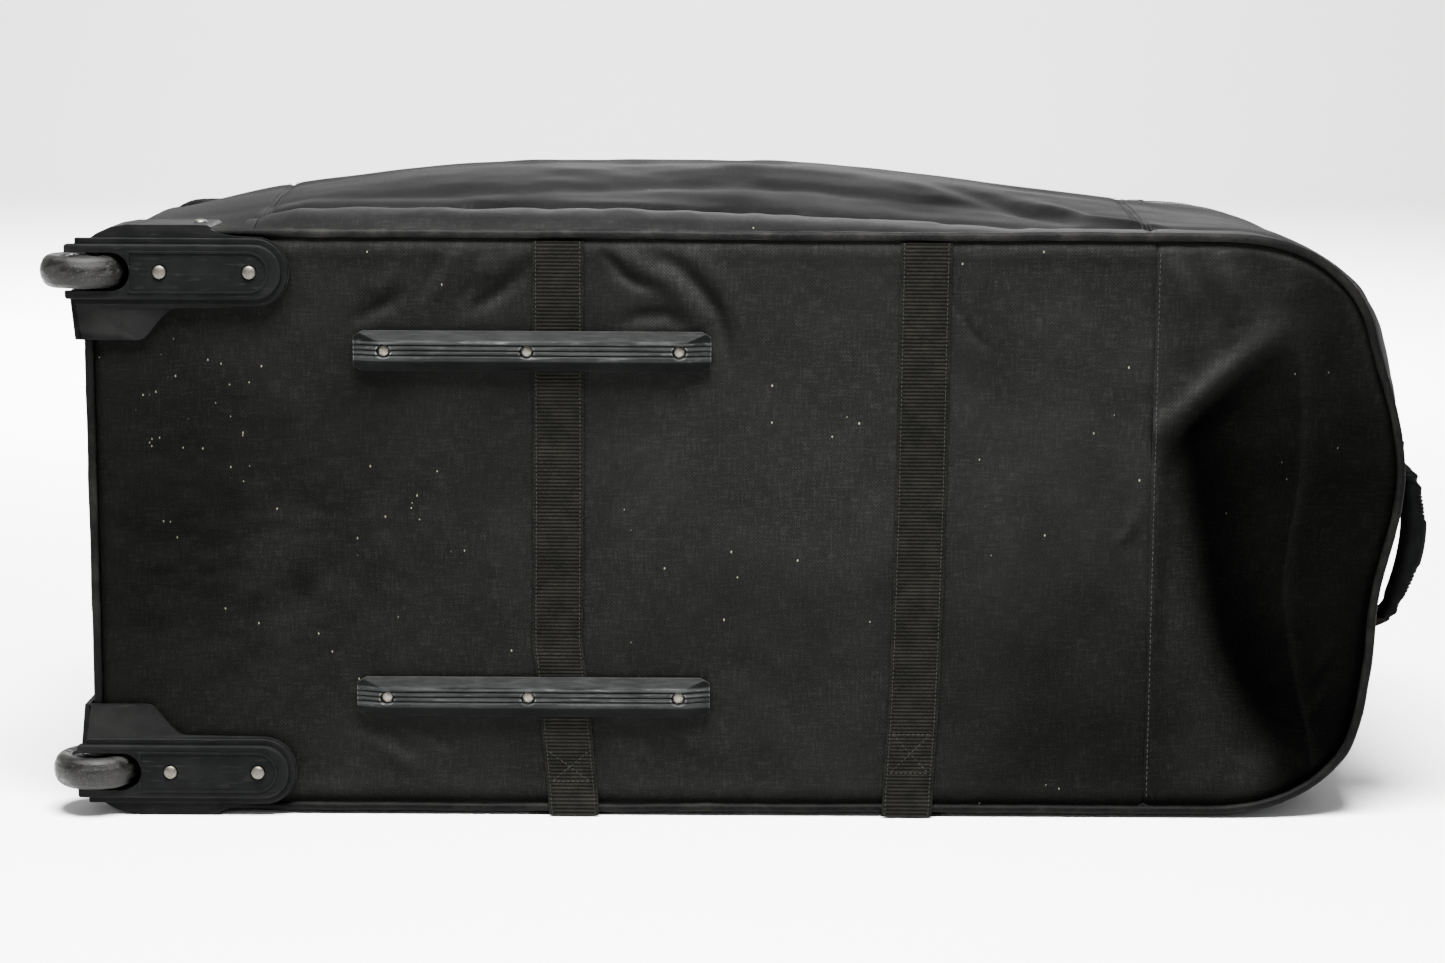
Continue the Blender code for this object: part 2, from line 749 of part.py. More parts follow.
def make_slider(side, sign):
    """A zip slider on the closed teeth, with its pull lying on the wall."""
    tape_mid = WALL_END + GAP + TAPE_WIDTH + GAP / 2
    rise = ZIP_SWELL if sign > 0 else LOWER_ZIP_SWELL
    low = HALF_WIDTH + rise + GAP
    high = low + SLIDER_HEIGHT
    half = SLIDER_LENGTH / 2
    outline = [(-half, -4), (-half * 0.4, -5.5), (half, -4.5), (half, 4.5), (-half * 0.4, 5.5), (-half, 4)]
    rings = []
    for level, size in ((low, 1.0), (high - 0.8, 1.0), (high, 0.8)):
        rings.append(
            [(SLIDER_X + x * size, sign * level, tape_mid + d * size) for x, d in outline]
        )
    slider = loft(f"zip_slider_{side}", rings, "steel", smooth=False)
    re_origin(slider, SLIDER_X, sign * low, tape_mid)
    pivot_x = SLIDER_X - half - 1.2
    tab = [(-0.2, -3), (-0.2, 3), (-PULL_LENGTH * 0.7, 4.5), (-PULL_LENGTH, 3), (-PULL_LENGTH, -3)]
    tab.append((-PULL_LENGTH * 0.7, -4.5))
    rings = []
    for level in (low + 0.4, low + 2.2):
        rings.append([(pivot_x + x, sign * level, tape_mid + d) for x, d in tab])
    pull = loft(f"pull_tab_{side}", rings, "grip", smooth=False)
    re_origin(pull, pivot_x, sign * (low + 1.3), tape_mid)


def grab_point(t, reach, d):
    """A point on the grab handle's bow. t runs from 0 at its lower end to 1 at its upper end."""
    w = GRAB_W + GRAB_HALF * (2 * t - 1)
    bow = GRAB_REACH * sin(pi * t) ** 0.8 if 0 < t < 1 else 0.0
    return (GRAB_PIVOT_X + bow + reach, w, GRAB_D + d)


def make_grab_handle():
    rings = []
    steps = 14
    for i in range(steps + 1):
        t = i / steps
        swell_out = 0.45 + 0.55 * sin(pi * t) ** 0.5 if 0 < t < 1 else 0.45
        ring = []
        for j in range(10):
            a = 2 * pi * j / 10
            reach = GRAB_THICK / 2 * swell_out * cos(a)
            ring.append(grab_point(t, reach, GRAB_WIDE / 2 * sin(a)))
        rings.append(ring)
    grip = loft("grab_handle_grip", rings, "grip")
    re_origin(grip, GRAB_PIVOT_X, GRAB_W, GRAB_D)
    for label, end in (("lower", -1), ("upper", 1)):
        make_anchor(label, end)


def make_anchor(label, end):
    """A folded webbing tab that holds one end of the grab handle on the nose."""
    near = GRAB_W + end * (GRAB_HALF + GAP)
    far = near + end * 22
    stations = []
    for w in (near, far):
        slope = w / NOSE_RADIUS
        run = sqrt(1 - slope * slope)
        stations.append((NOSE_CENTRE_X + NOSE_RADIUS * run, w, run, slope))
    rings = []
    for d in (GRAB_D - 13, GRAB_D + 13):
        inner = [skin_point(station, d, -ANCHOR_CLEAR)[:2] for station in stations]
        (near_x, near_w), (far_x, far_w) = inner
        rings.append(
            [
                (near_x, near, d),
                (GRAB_PIVOT_X + 5, near, d),
                (GRAB_PIVOT_X + 4, near + end * 6, d),
                (far_x + 2.5, far_w, d),
                (far_x, far_w, d),
            ]
        )
    loft(f"grab_handle_anchor_{label}", rings, "webbing", smooth=False)


def main():
    clear_scene()
    wall = make_walls()
    make_lid_sides()
    base = make_panels()
    board = make_board()
    make_piping()
    for side, x in STRAP_XS.items():
        make_strap(side, x)
    make_carry_handle()
    spots = []
    for side, sign in SIDES.items():
        rail, rail_spots = make_rail(side, sign)
        housing, housing_spots = make_housing(side, sign)
        combine(rail, "DIFFERENCE", rivet_holes(f"rail_hole_{side}", rail_spots))
        combine(housing, "DIFFERENCE", rivet_holes(f"plate_hole_{side}", housing_spots))
        combine(housing, "DIFFERENCE", side_holes(f"rim_hole_{side}"))
        make_wheel(side, sign)
        make_slider(side, sign)
        spots += rail_spots + housing_spots
    make_grab_handle()
    combine(base, "DIFFERENCE", bucket_cutters("base_bucket") + rivet_holes("base_hole", spots))
    combine(board, "DIFFERENCE", rivet_holes("board_hole", spots))
    combine(wall, "DIFFERENCE", bucket_cutters("wall_bucket") + side_holes("wall_hole"))


main()
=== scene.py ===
"""The looks of the wheeled gear bag: fabric, webbing, mouldings, light and camera.

Sizes are in millimetres. As in the frame, x runs along the bag, w across its width
from the middle line, and d through its depth from the underside.
"""

from math import atan2, cos, degrees, pi, radians, sin, sqrt

import bmesh
import bpy
import numpy as np
from mathutils import Matrix, Vector


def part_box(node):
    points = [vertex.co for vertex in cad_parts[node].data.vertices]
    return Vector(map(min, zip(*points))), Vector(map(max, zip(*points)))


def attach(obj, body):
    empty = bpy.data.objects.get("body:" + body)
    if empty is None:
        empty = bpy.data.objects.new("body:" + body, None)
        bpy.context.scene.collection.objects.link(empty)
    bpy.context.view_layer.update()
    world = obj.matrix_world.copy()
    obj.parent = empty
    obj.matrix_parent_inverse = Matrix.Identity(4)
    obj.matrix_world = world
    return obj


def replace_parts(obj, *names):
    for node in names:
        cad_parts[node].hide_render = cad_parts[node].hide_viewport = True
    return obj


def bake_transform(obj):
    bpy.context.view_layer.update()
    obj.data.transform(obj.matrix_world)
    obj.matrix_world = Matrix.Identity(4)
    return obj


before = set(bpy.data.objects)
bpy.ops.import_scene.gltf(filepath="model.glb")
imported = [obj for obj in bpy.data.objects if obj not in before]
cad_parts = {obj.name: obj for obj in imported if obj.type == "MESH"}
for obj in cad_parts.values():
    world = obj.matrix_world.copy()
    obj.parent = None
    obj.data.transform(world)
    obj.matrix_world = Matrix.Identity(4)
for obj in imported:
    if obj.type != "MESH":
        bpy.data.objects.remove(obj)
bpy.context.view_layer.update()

MM = 0.001

# Places read from the frame.
BASE_LOW, BASE_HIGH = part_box("base_panel")
LID_LOW, LID_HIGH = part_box("lid_panel")
UNDERSIDE_Y = BASE_LOW.y / MM
MIDDLE = (BASE_LOW.z + BASE_HIGH.z) / 2 / MM
EDGE_INSET = 0.5
HALF_WIDTH = (BASE_HIGH.z - BASE_LOW.z) / 2 / MM + EDGE_INSET
HEEL_X = BASE_LOW.x / MM - EDGE_INSET
NOSE_TIP_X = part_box("nose_panel")[1].x / MM + EDGE_INSET
NOSE_SEAM_X = BASE_HIGH.x / MM
DEPTH = LID_HIGH.y / MM - UNDERSIDE_Y
HEEL_SEAM_X = LID_LOW.x / MM
HEEL_RADIUS = 28.0
NOSE_RADIUS = 330.0
NOSE_CORNER_RADIUS = 110.0
NOSE_CENTRE_X = NOSE_TIP_X - NOSE_RADIUS
ZIP_SWELL = 10.0
LOWER_ZIP_SWELL = 3.0
SIDES = (("upper", 1), ("lower", -1))


def node_range(node):
    """(x, w, d) ranges of a CAD node, each as (low, high)."""
    low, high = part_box(node)
    return (
        (low.x / MM, high.x / MM),
        (low.z / MM - MIDDLE, high.z / MM - MIDDLE),
        (low.y / MM - UNDERSIDE_Y, high.y / MM - UNDERSIDE_Y),
    )


def middle(ends):
    return (ends[0] + ends[1]) / 2


def smooth(low, high, value):
    t = np.clip((np.asarray(value, float) - low) / (high - low), 0, 1)
    return t * t * (3 - 2 * t)


def bump_at(value, centre, width):
    return np.exp(-(((np.asarray(value, float) - centre) / width) ** 2))


def noise(u, v, size, seed):
    """Smooth noise from -1 to 1 over two coordinates, with cells of the given size."""
    table = np.random.default_rng(seed).uniform(-1, 1, (64, 64))
    u, v = np.asarray(u, float) / size + 1000, np.asarray(v, float) / size + 1000
    iu, iv = np.floor(u).astype(int), np.floor(v).astype(int)
    fu, fv = u - iu, v - iv
    fu, fv = fu * fu * (3 - 2 * fu), fv * fv * (3 - 2 * fv)
    a, b = table[iu % 64, iv % 64], table[(iu + 1) % 64, iv % 64]
    c, d = table[iu % 64, (iv + 1) % 64], table[(iu + 1) % 64, (iv + 1) % 64]
    return (a * (1 - fu) + b * fu) * (1 - fv) + (c * (1 - fu) + d * fu) * fv


def fold(x, w, points, width, height):
    """A soft ridge, or a valley with a negative height, along a curved line of points."""
    x, w = np.asarray(x, float), np.asarray(w, float)
    best, along = np.full(x.shape, 1e9), np.zeros(x.shape)
    count = len(points) - 1
    for i, ((ax, aw), (bx, bw)) in enumerate(zip(points, points[1:])):
        length = (bx - ax) ** 2 + (bw - aw) ** 2
        t = np.clip(((x - ax) * (bx - ax) + (w - aw) * (bw - aw)) / length, 0, 1)
        gap = (x - ax - t * (bx - ax)) ** 2 + (w - aw - t * (bw - aw)) ** 2
        along = np.where(gap < best, (i + t) / count, along)
        best = np.minimum(gap, best)
    fade = np.sin(pi * np.clip(along, 0.02, 0.98)) ** 0.6
    return height * fade * np.exp(-best / width**2)


def folds(x, w, rows):
    return sum(fold(x, w, *row) for row in rows)


def dent(w):
    return 17.0 * bump_at(w, -50, 64)


def dented(points):
    """The points with the soft nose pushed in behind the grab handle, and its corners full."""
    p = np.array(points, float)
    x, w = p[..., 0].copy(), p[..., 1]
    p[..., 0] -= dent(w) * smooth(330, 480, x) * (1 - smooth(90, 260, p[..., 2]))
    p[..., 0] += 9.0 * smooth(110, 185, np.abs(w)) * smooth(345, 412, x)
    return p


def place(points):
    """World coordinates, in metres, of an array of (x, w, d) points."""
    x, w, d = np.moveaxis(dented(points), -1, 0)
    return np.stack([x * MM, (d + UNDERSIDE_Y) * MM, (w + MIDDLE) * MM], -1)


def spread(*parts):
    """Points whose coordinates are arrays that spread to one shape."""
    return np.stack(np.broadcast_arrays(*parts), -1)


def circle(count):
    return [2 * pi * i / count for i in range(count)]


# Meshes.

BARE_LINT = 0.006


def raw_object(name, verts, faces):
    """An object in the scene from world points and faces."""
    mesh = bpy.data.meshes.new(name)
    mesh.from_pydata([tuple(v) for v in verts], [], faces)
    obj = bpy.data.objects.new(name, mesh)
    bpy.context.scene.collection.objects.link(obj)
    return obj


def mesh_object(name, verts, faces, material, body, cloth=None, sharp=40, tone=1.0, lint=BARE_LINT):
    """A closed piece in its body and material slot, with its faces turned outwards."""
    obj = raw_object(name, verts, faces)
    mesh = obj.data
    mesh.validate()
    if cloth is not None:
        layer = mesh.attributes.new("cloth", "FLOAT_VECTOR", "POINT")
        layer.data.foreach_set("vector", np.asarray(cloth, np.float32).ravel())
        for label, values in (("tone", tone), ("lint", lint)):
            layer = mesh.attributes.new(label, "FLOAT", "POINT")
            layer.data.foreach_set("value", np.full(len(verts), values, np.float32))
    mesh.shade_smooth()
    mesh.set_sharp_from_angle(angle=radians(sharp))
    mesh.materials.append(material)
    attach(obj, body)
    return outwards(obj)


def outwards(obj):
    body = bmesh.new()
    body.from_mesh(obj.data)
    bmesh.ops.remove_doubles(body, verts=body.verts, dist=1e-7)
    bmesh.ops.recalc_face_normals(body, faces=body.faces)
    body.to_mesh(obj.data)
    body.free()
    return obj


def grid_faces(rows, columns, start=0, flip=False):
    i, j = np.meshgrid(np.arange(rows - 1), np.arange(columns - 1), indexing="ij")
    a = start + i * columns + j
    quads = np.stack([a, a + 1, a + columns + 1, a + columns], -1).reshape(-1, 4)
    return quads[:, ::-1] if flip else quads


def band_faces(start, after, sides):
    """Faces between two rings of vertices that start at the given numbers."""
    turns = [(j, (j + 1) % sides) for j in range(sides)]
    return [(start + j, start + k, after + k, after + j) for j, k in turns]


def cap_faces(first, last, sides):
    return [tuple(range(first, first + sides))[::-1], tuple(range(last, last + sides))]


def shell(name, outer, inner, material, body, slot, cloth, sharp=40, tone=1.0, lint=BARE_LINT):
    """A closed sheet between two grids of points with the same shape, given in (x, w, d)."""
    rows, columns = outer.shape[:2]
    count = rows * columns
    faces = [grid_faces(rows, columns), grid_faces(rows, columns, count, flip=True)]
    edge = [np.arange(columns), np.arange(1, rows) * columns + columns - 1]
    edge += [
        np.arange(columns - 2, -1, -1) + (rows - 1) * columns,
        np.arange(rows - 2, 0, -1) * columns,
    ]
    ring = np.concatenate(edge)
    after = np.roll(ring, -1)
    faces.append(np.stack([after, ring, ring + count, after + count], -1))
    verts = np.concatenate([place(outer).reshape(-1, 3), place(inner).reshape(-1, 3)])
    flat = np.tile(np.asarray(cloth, float).reshape(-1, 2), (2, 1)) * MM
    flat = np.pad(flat, ((0, 0), (0, 1)))
    tone, lint = (np.tile(np.broadcast_to(v, (rows, columns)).ravel(), 2) for v in (tone, lint))
    faces = np.concatenate(faces).tolist()
    return mesh_object(name, verts, faces, material, body, flat, sharp, tone, lint)


def tube(name, rings, material, body, closed=False, sharp=40, cloth=None, tone=1.0):
    """A skin over rings of points. Open ends are capped."""
    rings = np.asarray(rings, float)
    count, sides = rings.shape[:2]
    faces = []
    for i in range(count if closed else count - 1):
        faces += band_faces(i * sides, (i + 1) % count * sides, sides)
    if not closed:
        faces += cap_faces(0, (count - 1) * sides, sides)
    verts = place(rings).reshape(-1, 3)
    return mesh_object(name, verts, faces, material, body, cloth, sharp, tone)


def lathe(name, profile, centre, axis, material, body, steps=64, sharp=35):
    """A turned piece. The profile lists (radius, distance along the axis)."""
    radius, level = np.asarray(profile, float).T
    rings = []
    for a in circle(steps):
        c, s = radius * cos(a), radius * sin(a)
        across = {"d": (c, s, level), "w": (c, level, s)}[axis]
        rings.append(np.stack(across, -1) + np.asarray(centre, float))
    return tube(name, rings, material, body, closed=True, sharp=sharp)


def eased(before, here, after, radius, most, steps):
    """Points of a corner, rounded within a share of its two sides."""
    before, here, after = (np.array(p, float) for p in (before, here, after))
    sides = [before - here, after - here]
    reach = min(radius, *(np.linalg.norm(side) * most for side in sides))
    start, end = (here + side / np.linalg.norm(side) * reach for side in sides)
    ts = [i / steps for i in range(steps + 1)]
    return [tuple((1 - t) ** 2 * start + 2 * t * (1 - t) * here + t * t * end) for t in ts]


def rounded(points, radius, steps):
    """A line of points with its inner corners rounded."""
    corners = [eased(*p, radius, 0.45, steps) for p in zip(points, points[1:], points[2:])]
    return [points[0], *sum(corners, []), points[-1]]


def round_outline(points, radius, steps=4):
    """A closed outline with its corners rounded."""
    ring = zip([points[-1], *points], points, [*points[1:], points[0]])
    return sum((eased(*p, radius, 0.42, steps) for p in ring), [])


# Materials.


class Nodes:
    """Short words for a material's node tree."""

    def __init__(self, name, roughness, colour=(0.02, 0.02, 0.02), gloss=None):
        self.material = bpy.data.materials.new(name)
        self.material.use_nodes = True
        self.tree = self.material.node_tree
        self.shader = self.tree.nodes["Principled BSDF"]
        self.fill(self.shader, {"Roughness": roughness, "Base Color": (*colour, 1)})
        self.fill(self.shader, {"Specular IOR Level": gloss})

    def fill(self, node, inputs):
        """Links each socket and sets each value. None leaves an input alone."""
        for key, value in inputs.items():
            if isinstance(value, bpy.types.NodeSocket):
                self.tree.links.new(value, node.inputs[key])
            elif value is not None:
                node.inputs[key].default_value = value
        return node

    def add(self, kind, inputs=None, **settings):
        node = self.tree.nodes.new(kind)
        for key, value in settings.items():
            setattr(node, key, value)
        return self.fill(node, inputs or {})

    def attribute(self, name, output="Fac"):
        return self.add("ShaderNodeAttribute", attribute_name=name).outputs[output]

    def coords(self, cloth=False, stretch=(1, 1, 1)):
        if cloth:
            out = self.attribute("cloth", "Vector")
        else:
            out = self.add("ShaderNodeTexCoord").outputs["Object"]
        return self.add("ShaderNodeMapping", {"Vector": out, "Scale": stretch}).outputs[0]

    def noise(self, where, scale, detail=2.0, rough=0.5):
        inputs = {"Vector": where, "Scale": scale, "Detail": detail, "Roughness": rough}
        return self.add("ShaderNodeTexNoise", inputs).outputs["Fac"]

    def ramp(self, value, low, high, out=(0.0, 1.0)):
        ends = {"From Min": low, "From Max": high, "To Min": out[0], "To Max": out[1]}
        inputs = {"Value": value, **ends}
        return self.add("ShaderNodeMapRange", inputs, interpolation_type="SMOOTHSTEP").outputs[0]

    def math(self, operation, a, b=0.0):
        return self.add("ShaderNodeMath", {0: a, 1: b}, operation=operation).outputs[0]

    def mix(self, factor, a, b):
        a, b = ((*c, 1) if isinstance(c, tuple) else c for c in (a, b))
        return self.add("ShaderNodeMix", {0: factor, 6: a, 7: b}, data_type="RGBA").outputs[2]

    def over(self, shade, value, low, high, colour, most=1.0):
        """The shade with a colour laid over it where the value is high."""
        return self.mix(self.ramp(value, low, high, (0.0, most)), shade, colour)

    def bump(self, height, strength, distance, below=None):
        inputs = {"Height": height, "Strength": strength, "Distance": distance, "Normal": below}
        return self.add("ShaderNodeBump", inputs).outputs[0]

    def finish(self, colour, normal, roughness=None):
        looks = {"Base Color": colour, "Normal": normal, "Roughness": roughness}
        self.fill(self.shader, looks)
        return self.material


def scaled(colour, by):
    return tuple(c * by for c in colour)


def weave_height(n, where, pitch):
    """Over-and-under threads, as a height."""
    axes = n.add("ShaderNodeSeparateXYZ", {0: where}).outputs
    waves = [n.math("SINE", n.math("MULTIPLY", axes[i], 2 * pi / pitch)) for i in (0, 1)]
    return n.math("MULTIPLY", *waves)


def specks(n, where, cell, radius, share):
    """Small lint spots: one in some cells of a scattered grid. 1 on a spot and 0 off it."""
    cells = n.add("ShaderNodeTexVoronoi", {"Vector": where, "Scale": 1 / cell}).outputs
    near = n.ramp(cells["Distance"], radius / cell, radius / cell * 0.6)
    picked = n.add("ShaderNodeSeparateColor", {0: cells["Color"]}).outputs[0]
    return n.math("MULTIPLY", near, n.math("LESS_THAN", picked, share))


def toned(n, shade):
    """The colour times the mesh's tone, which holds painted light and shade as well as wear and random
    tone.
    """
    shade = n.mix(1.0, shade, n.attribute("tone"))
    shade.node.blend_type = "MULTIPLY"
    return shade


def nylon(name, colour, dust_and_shade, worn=0.0):
    """Woven nylon: threads, a soft mottle, rubbed patches, lint and faint scuffs, times the mesh's tone of
    painted light and shade.
    """
    n = Nodes(name, 0.62, colour)
    where = n.coords(cloth=True)
    mottle = n.noise(where, 14, 5, 0.6)
    grain = n.noise(where, 900, 2, 0.6)
    streak = n.noise(n.coords(cloth=True, stretch=(1, 0.25, 1)), 260, 3, 0.65)
    shade = n.over(colour, mottle, 0.35, 0.7, scaled(colour, 1.6))
    shade = n.over(shade, grain, 0.35, 0.75, dust_and_shade, 0.32)
    shade = n.over(shade, streak, 0.5, 0.8, dust_and_shade, 0.35)
    weft = n.noise(n.coords(cloth=True, stretch=(0.12, 1, 1)), 620, 2, 0.6)
    warp = n.noise(n.coords(cloth=True, stretch=(1, 0.12, 1)), 620, 2, 0.6)
    shade = n.over(shade, n.math("ADD", weft, warp), 0.95, 1.3, scaled(dust_and_shade, 1.7), 0.45)
    if worn:
        shade = n.over(shade, n.noise(where, 6, 3, 0.5), 0.5, 0.62, scaled(colour, 0.55), worn)
    weave = weave_height(n, where, 0.0026)
    shade = n.over(shade, weave, -0.2, 0.9, scaled(dust_and_shade, 1.5), 0.25)
    share = n.attribute("lint")
    lint = specks(n, n.coords(cloth=True, stretch=(1, 0.6, 1)), 0.0050, 0.0007, share)
    shade = n.mix(lint, shade, (0.085, 0.078, 0.058))
    scuff = n.noise(n.coords(cloth=True, stretch=(0.35, 1, 1)), 60, 6, 0.7)
    shade = toned(n, n.over(shade, scuff, 0.66, 0.78, (0.022, 0.022, 0.021), 0.25))
    normal = n.bump(grain, 0.5, 0.0004, n.bump(weave, 0.35, 0.00025))
    gloss = n.math("MULTIPLY", n.attribute("tone"), 0.02)
    n.fill(n.shader, {"Specular IOR Level": gloss})
    return n.finish(shade, normal, n.ramp(grain, 0.2, 0.8, (0.52, 0.72)))


def webbing(name, colour, dust_and_shade):
    """Ribbed webbing. Its ribs are in the mesh, and the threads are here."""
    n = Nodes(name, 0.7, colour, 0.02)
    where = n.coords(cloth=True)
    mottle = n.noise(where, 60, 4, 0.6)
    thread = n.noise(n.coords(cloth=True, stretch=(1, 0.3, 1)), 1400, 2, 0.6)
    shade = n.over(colour, mottle, 0.3, 0.75, dust_and_shade)
    shade = n.over(shade, thread, 0.35, 0.75, scaled(dust_and_shade, 1.6), 0.5)
    shade = n.mix(specks(n, where, 0.016, 0.0010, 0.10), shade, (0.09, 0.085, 0.06))
    return n.finish(toned(n, shade), n.bump(thread, 0.6, 0.0004))


def piping_cloth(name):
    n = Nodes(name, 0.55, gloss=0.02)
    where = n.coords()
    rub = n.ramp(n.noise(n.coords(stretch=(0.4, 1, 0.4)), 90, 4, 0.7), 0.42, 0.7)
    grain = n.noise(where, 700, 3, 0.6)
    shade = n.mix(rub, (0.0018, 0.0018, 0.0018), (0.0060, 0.0059, 0.0054))
    shade = n.over(shade, grain, 0.4, 0.8, (0.013, 0.0128, 0.012), 0.4)
    return n.finish(toned(n, shade), n.bump(grain, 0.5, 0.0004))


def moulding(name, gloss, edge_colour, roughness, has_tone=False):
    """Black moulded plastic: fine grain, long scratches, and pale edges that are partly rubbed wear and
    partly a painted highlight.
    """
    n = Nodes(name, 0.42, gloss=gloss)
    where = n.coords()
    long = n.noise(n.coords(stretch=(0.12, 1, 1)), 420, 4, 0.7)
    cloud = n.noise(where, 30, 4, 0.6)
    fine = n.noise(where, 1500, 2, 0.5)
    edge = n.add("ShaderNodeNewGeometry").outputs["Pointiness"]
    shade = n.over((0.0015, 0.0016, 0.0016), cloud, 0.3, 0.7, (0.0028, 0.0029, 0.0029))
    shade = n.over(shade, long, 0.55, 0.75, (0.010, 0.010, 0.0095), 0.6)
    # Pale edges where the mesh is pointy: partly rubbed wear, partly a painted highlight along the edges.
    pale = n.ramp(edge, 0.52, 0.60)
    rubbed = n.math("MULTIPLY", pale, n.ramp(cloud, 0.25, 0.6, (0.35, 1.0)))
    shade = n.mix(rubbed, shade, edge_colour)
    shade = n.mix(specks(n, where, 0.012, 0.0007, 0.10), shade, (0.10, 0.096, 0.085))
    if has_tone:
        shade = toned(n, shade)
    normal = n.bump(long, 0.2, 0.0003, n.bump(fine, 0.25, 0.0002))
    return n.finish(shade, normal, n.ramp(long, 0.3, 0.8, roughness))


def tyre_rubber(name):
    n = Nodes(name, 0.7, gloss=0.13)
    where = n.coords()
    dust = n.noise(n.coords(stretch=(0.3, 1, 1)), 190, 5, 0.75)
    pits = n.noise(where, 1100, 3, 0.7)
    shade = n.over((0.0005, 0.0005, 0.0005), dust, 0.45, 0.66, (0.0065, 0.0063, 0.0056))
    shade = n.over(shade, pits, 0.55, 0.75, (0.045, 0.043, 0.037))
    return n.finish(shade, n.bump(pits, 0.6, 0.0006), n.ramp(dust, 0.35, 0.7, (0.3, 0.75)))


def metal(name, colour, roughness, tarnish):
    n = Nodes(name, roughness, colour)
    n.fill(n.shader, {"Metallic": 1.0})
    cloud = n.noise(n.coords(), 500, 4, 0.7)
    shade = n.over(colour, cloud, 0.4, 0.75, tarnish)
    normal = n.bump(cloud, 0.12, 0.0002)
    return n.finish(shade, normal, n.ramp(cloud, 0.3, 0.8, (roughness, roughness + 0.15)))


def rubber(name, colour, roughness=0.6, gloss=0.12):
    n = Nodes(name, roughness, colour, gloss)
    where = n.coords()
    cloud = n.noise(where, 80, 4, 0.6)
    fine = n.noise(where, 1600, 2, 0.5)
    shade = n.over(colour, cloud, 0.35, 0.75, scaled(colour, 2.0))
    return n.finish(shade, n.bump(fine, 0.3, 0.0002))


def thread_cloth(name, colour):
    n = Nodes(name, 0.75, colour, 0.05)
    fibre = n.noise(n.coords(), 3000, 2, 0.6)
    shade = n.over(colour, fibre, 0.3, 0.7, scaled(colour, 1.7))
    return n.finish(shade, n.bump(fibre, 0.4, 0.0001))


BASE_NYLON = nylon("base_nylon", (0.0017, 0.00175, 0.00163), (0.0045, 0.0045, 0.0041), 0.3)
SIDE_NYLON = nylon("side_nylon", (0.0018, 0.0018, 0.0018), (0.0048, 0.0048, 0.0047))
LID_NYLON = nylon("lid_nylon", (0.0018, 0.0018, 0.0018), (0.0048, 0.0048, 0.0047))
STRAP = webbing("strap_webbing", (0.0016, 0.0016, 0.0013), (0.0044, 0.0043, 0.0035))
PIPING = piping_cloth("piping_cloth")
PLASTIC = moulding("moulded_plastic", 0.017, (0.0062, 0.0062, 0.006), (0.5, 0.72))
RAIL_PLASTIC = moulding("rail_plastic", 0.012, (0.014, 0.014, 0.0136), (0.34, 0.58), True)
TREAD = tyre_rubber("tyre_rubber")
HUB = rubber("hub_plastic", (0.006, 0.006, 0.0063), 0.45)
RIVET = metal("rivet_nickel", (0.072, 0.067, 0.057), 0.45, (0.043, 0.040, 0.034))
# Rail rivets get a brighter copy of the rivet metal: painted light against the shade of the wells they sit
# in.
LIT_RIVET = metal("lit_rivet", (0.15, 0.14, 0.12), 0.45, (0.09, 0.084, 0.071))
STEEL = metal("plain_steel", (0.22, 0.22, 0.22), 0.3, (0.12, 0.118, 0.115))
ZIP_METAL = metal("zip_black_metal", (0.03, 0.03, 0.03), 0.35, (0.015, 0.015, 0.015))
GRIP = rubber("grip_rubber", (0.0007, 0.0008, 0.00075), 0.7, 0.02)
BOARD = rubber("board_plastic", (0.008, 0.008, 0.008), 0.7)
THREAD = thread_cloth("sewing_thread", (0.010, 0.010, 0.0095))
PALE_THREAD = thread_cloth("pale_thread", (0.0085, 0.0085, 0.0078))
TEETH = rubber("zip_teeth", (0.0040, 0.0040, 0.0040), 0.4)
SLEEVE = nylon("sleeve_nylon", (0.0035, 0.0035, 0.0035), (0.009, 0.009, 0.009))


# The outline: arrays of stations, each (x, w, outward x, outward w).


def straight(start, end, out, count):
    t = np.linspace(0, 1, count + 1)
    x = start[0] + (end[0] - start[0]) * t
    w = start[1] + (end[1] - start[1]) * t
    return spread(x, w, out[0], out[1])


def arc(centre, radius, first, last, count):
    a = np.radians(np.linspace(first, last, count + 1))
    c, s = np.cos(a), np.sin(a)
    return np.stack([centre[0] + radius * c, centre[1] + radius * s, c, s], 1)


def arc_points(*values):
    return [(x, w) for x, w, _, _ in arc(*values)]


def chain(*pieces):
    return np.concatenate([pieces[0], *[p[1:] for p in pieces[1:]]])


CORNER_W = HALF_WIDTH - NOSE_CORNER_RADIUS
CORNER_RUN = sqrt((NOSE_RADIUS - NOSE_CORNER_RADIUS) ** 2 - CORNER_W**2)
CORNER_X = NOSE_CENTRE_X + CORNER_RUN
CORNER_ANGLE = degrees(atan2(CORNER_W, CORNER_RUN))


def nose_stations(fine=1):
    return chain(
        arc((CORNER_X, CORNER_W), NOSE_CORNER_RADIUS, 90, CORNER_ANGLE, 22 * fine),
        arc((NOSE_CENTRE_X, 0), NOSE_RADIUS, CORNER_ANGLE, -CORNER_ANGLE, 50 * fine),
        arc((CORNER_X, -CORNER_W), NOSE_CORNER_RADIUS, -CORNER_ANGLE, -90, 22 * fine),
    )


def side_stations(side, first, last, step=7.0):
    count = max(2, round(abs(last - first) / step))
    return straight((first, side * HALF_WIDTH), (last, side * HALF_WIDTH), (0, side), count)


def heel_stations():
    x, w = HEEL_X + HEEL_RADIUS, HALF_WIDTH - HEEL_RADIUS
    return chain(
        side_stations(-1, HEEL_SEAM_X - 0.3, x),
        arc((x, -w), HEEL_RADIUS, -90, -180, 9),
        straight((HEEL_X, -w), (HEEL_X, w), (-1, 0), 50),
        arc((x, w), HEEL_RADIUS, 180, 90, 9),
        side_stations(1, x, HEEL_SEAM_X - 0.3),
    )


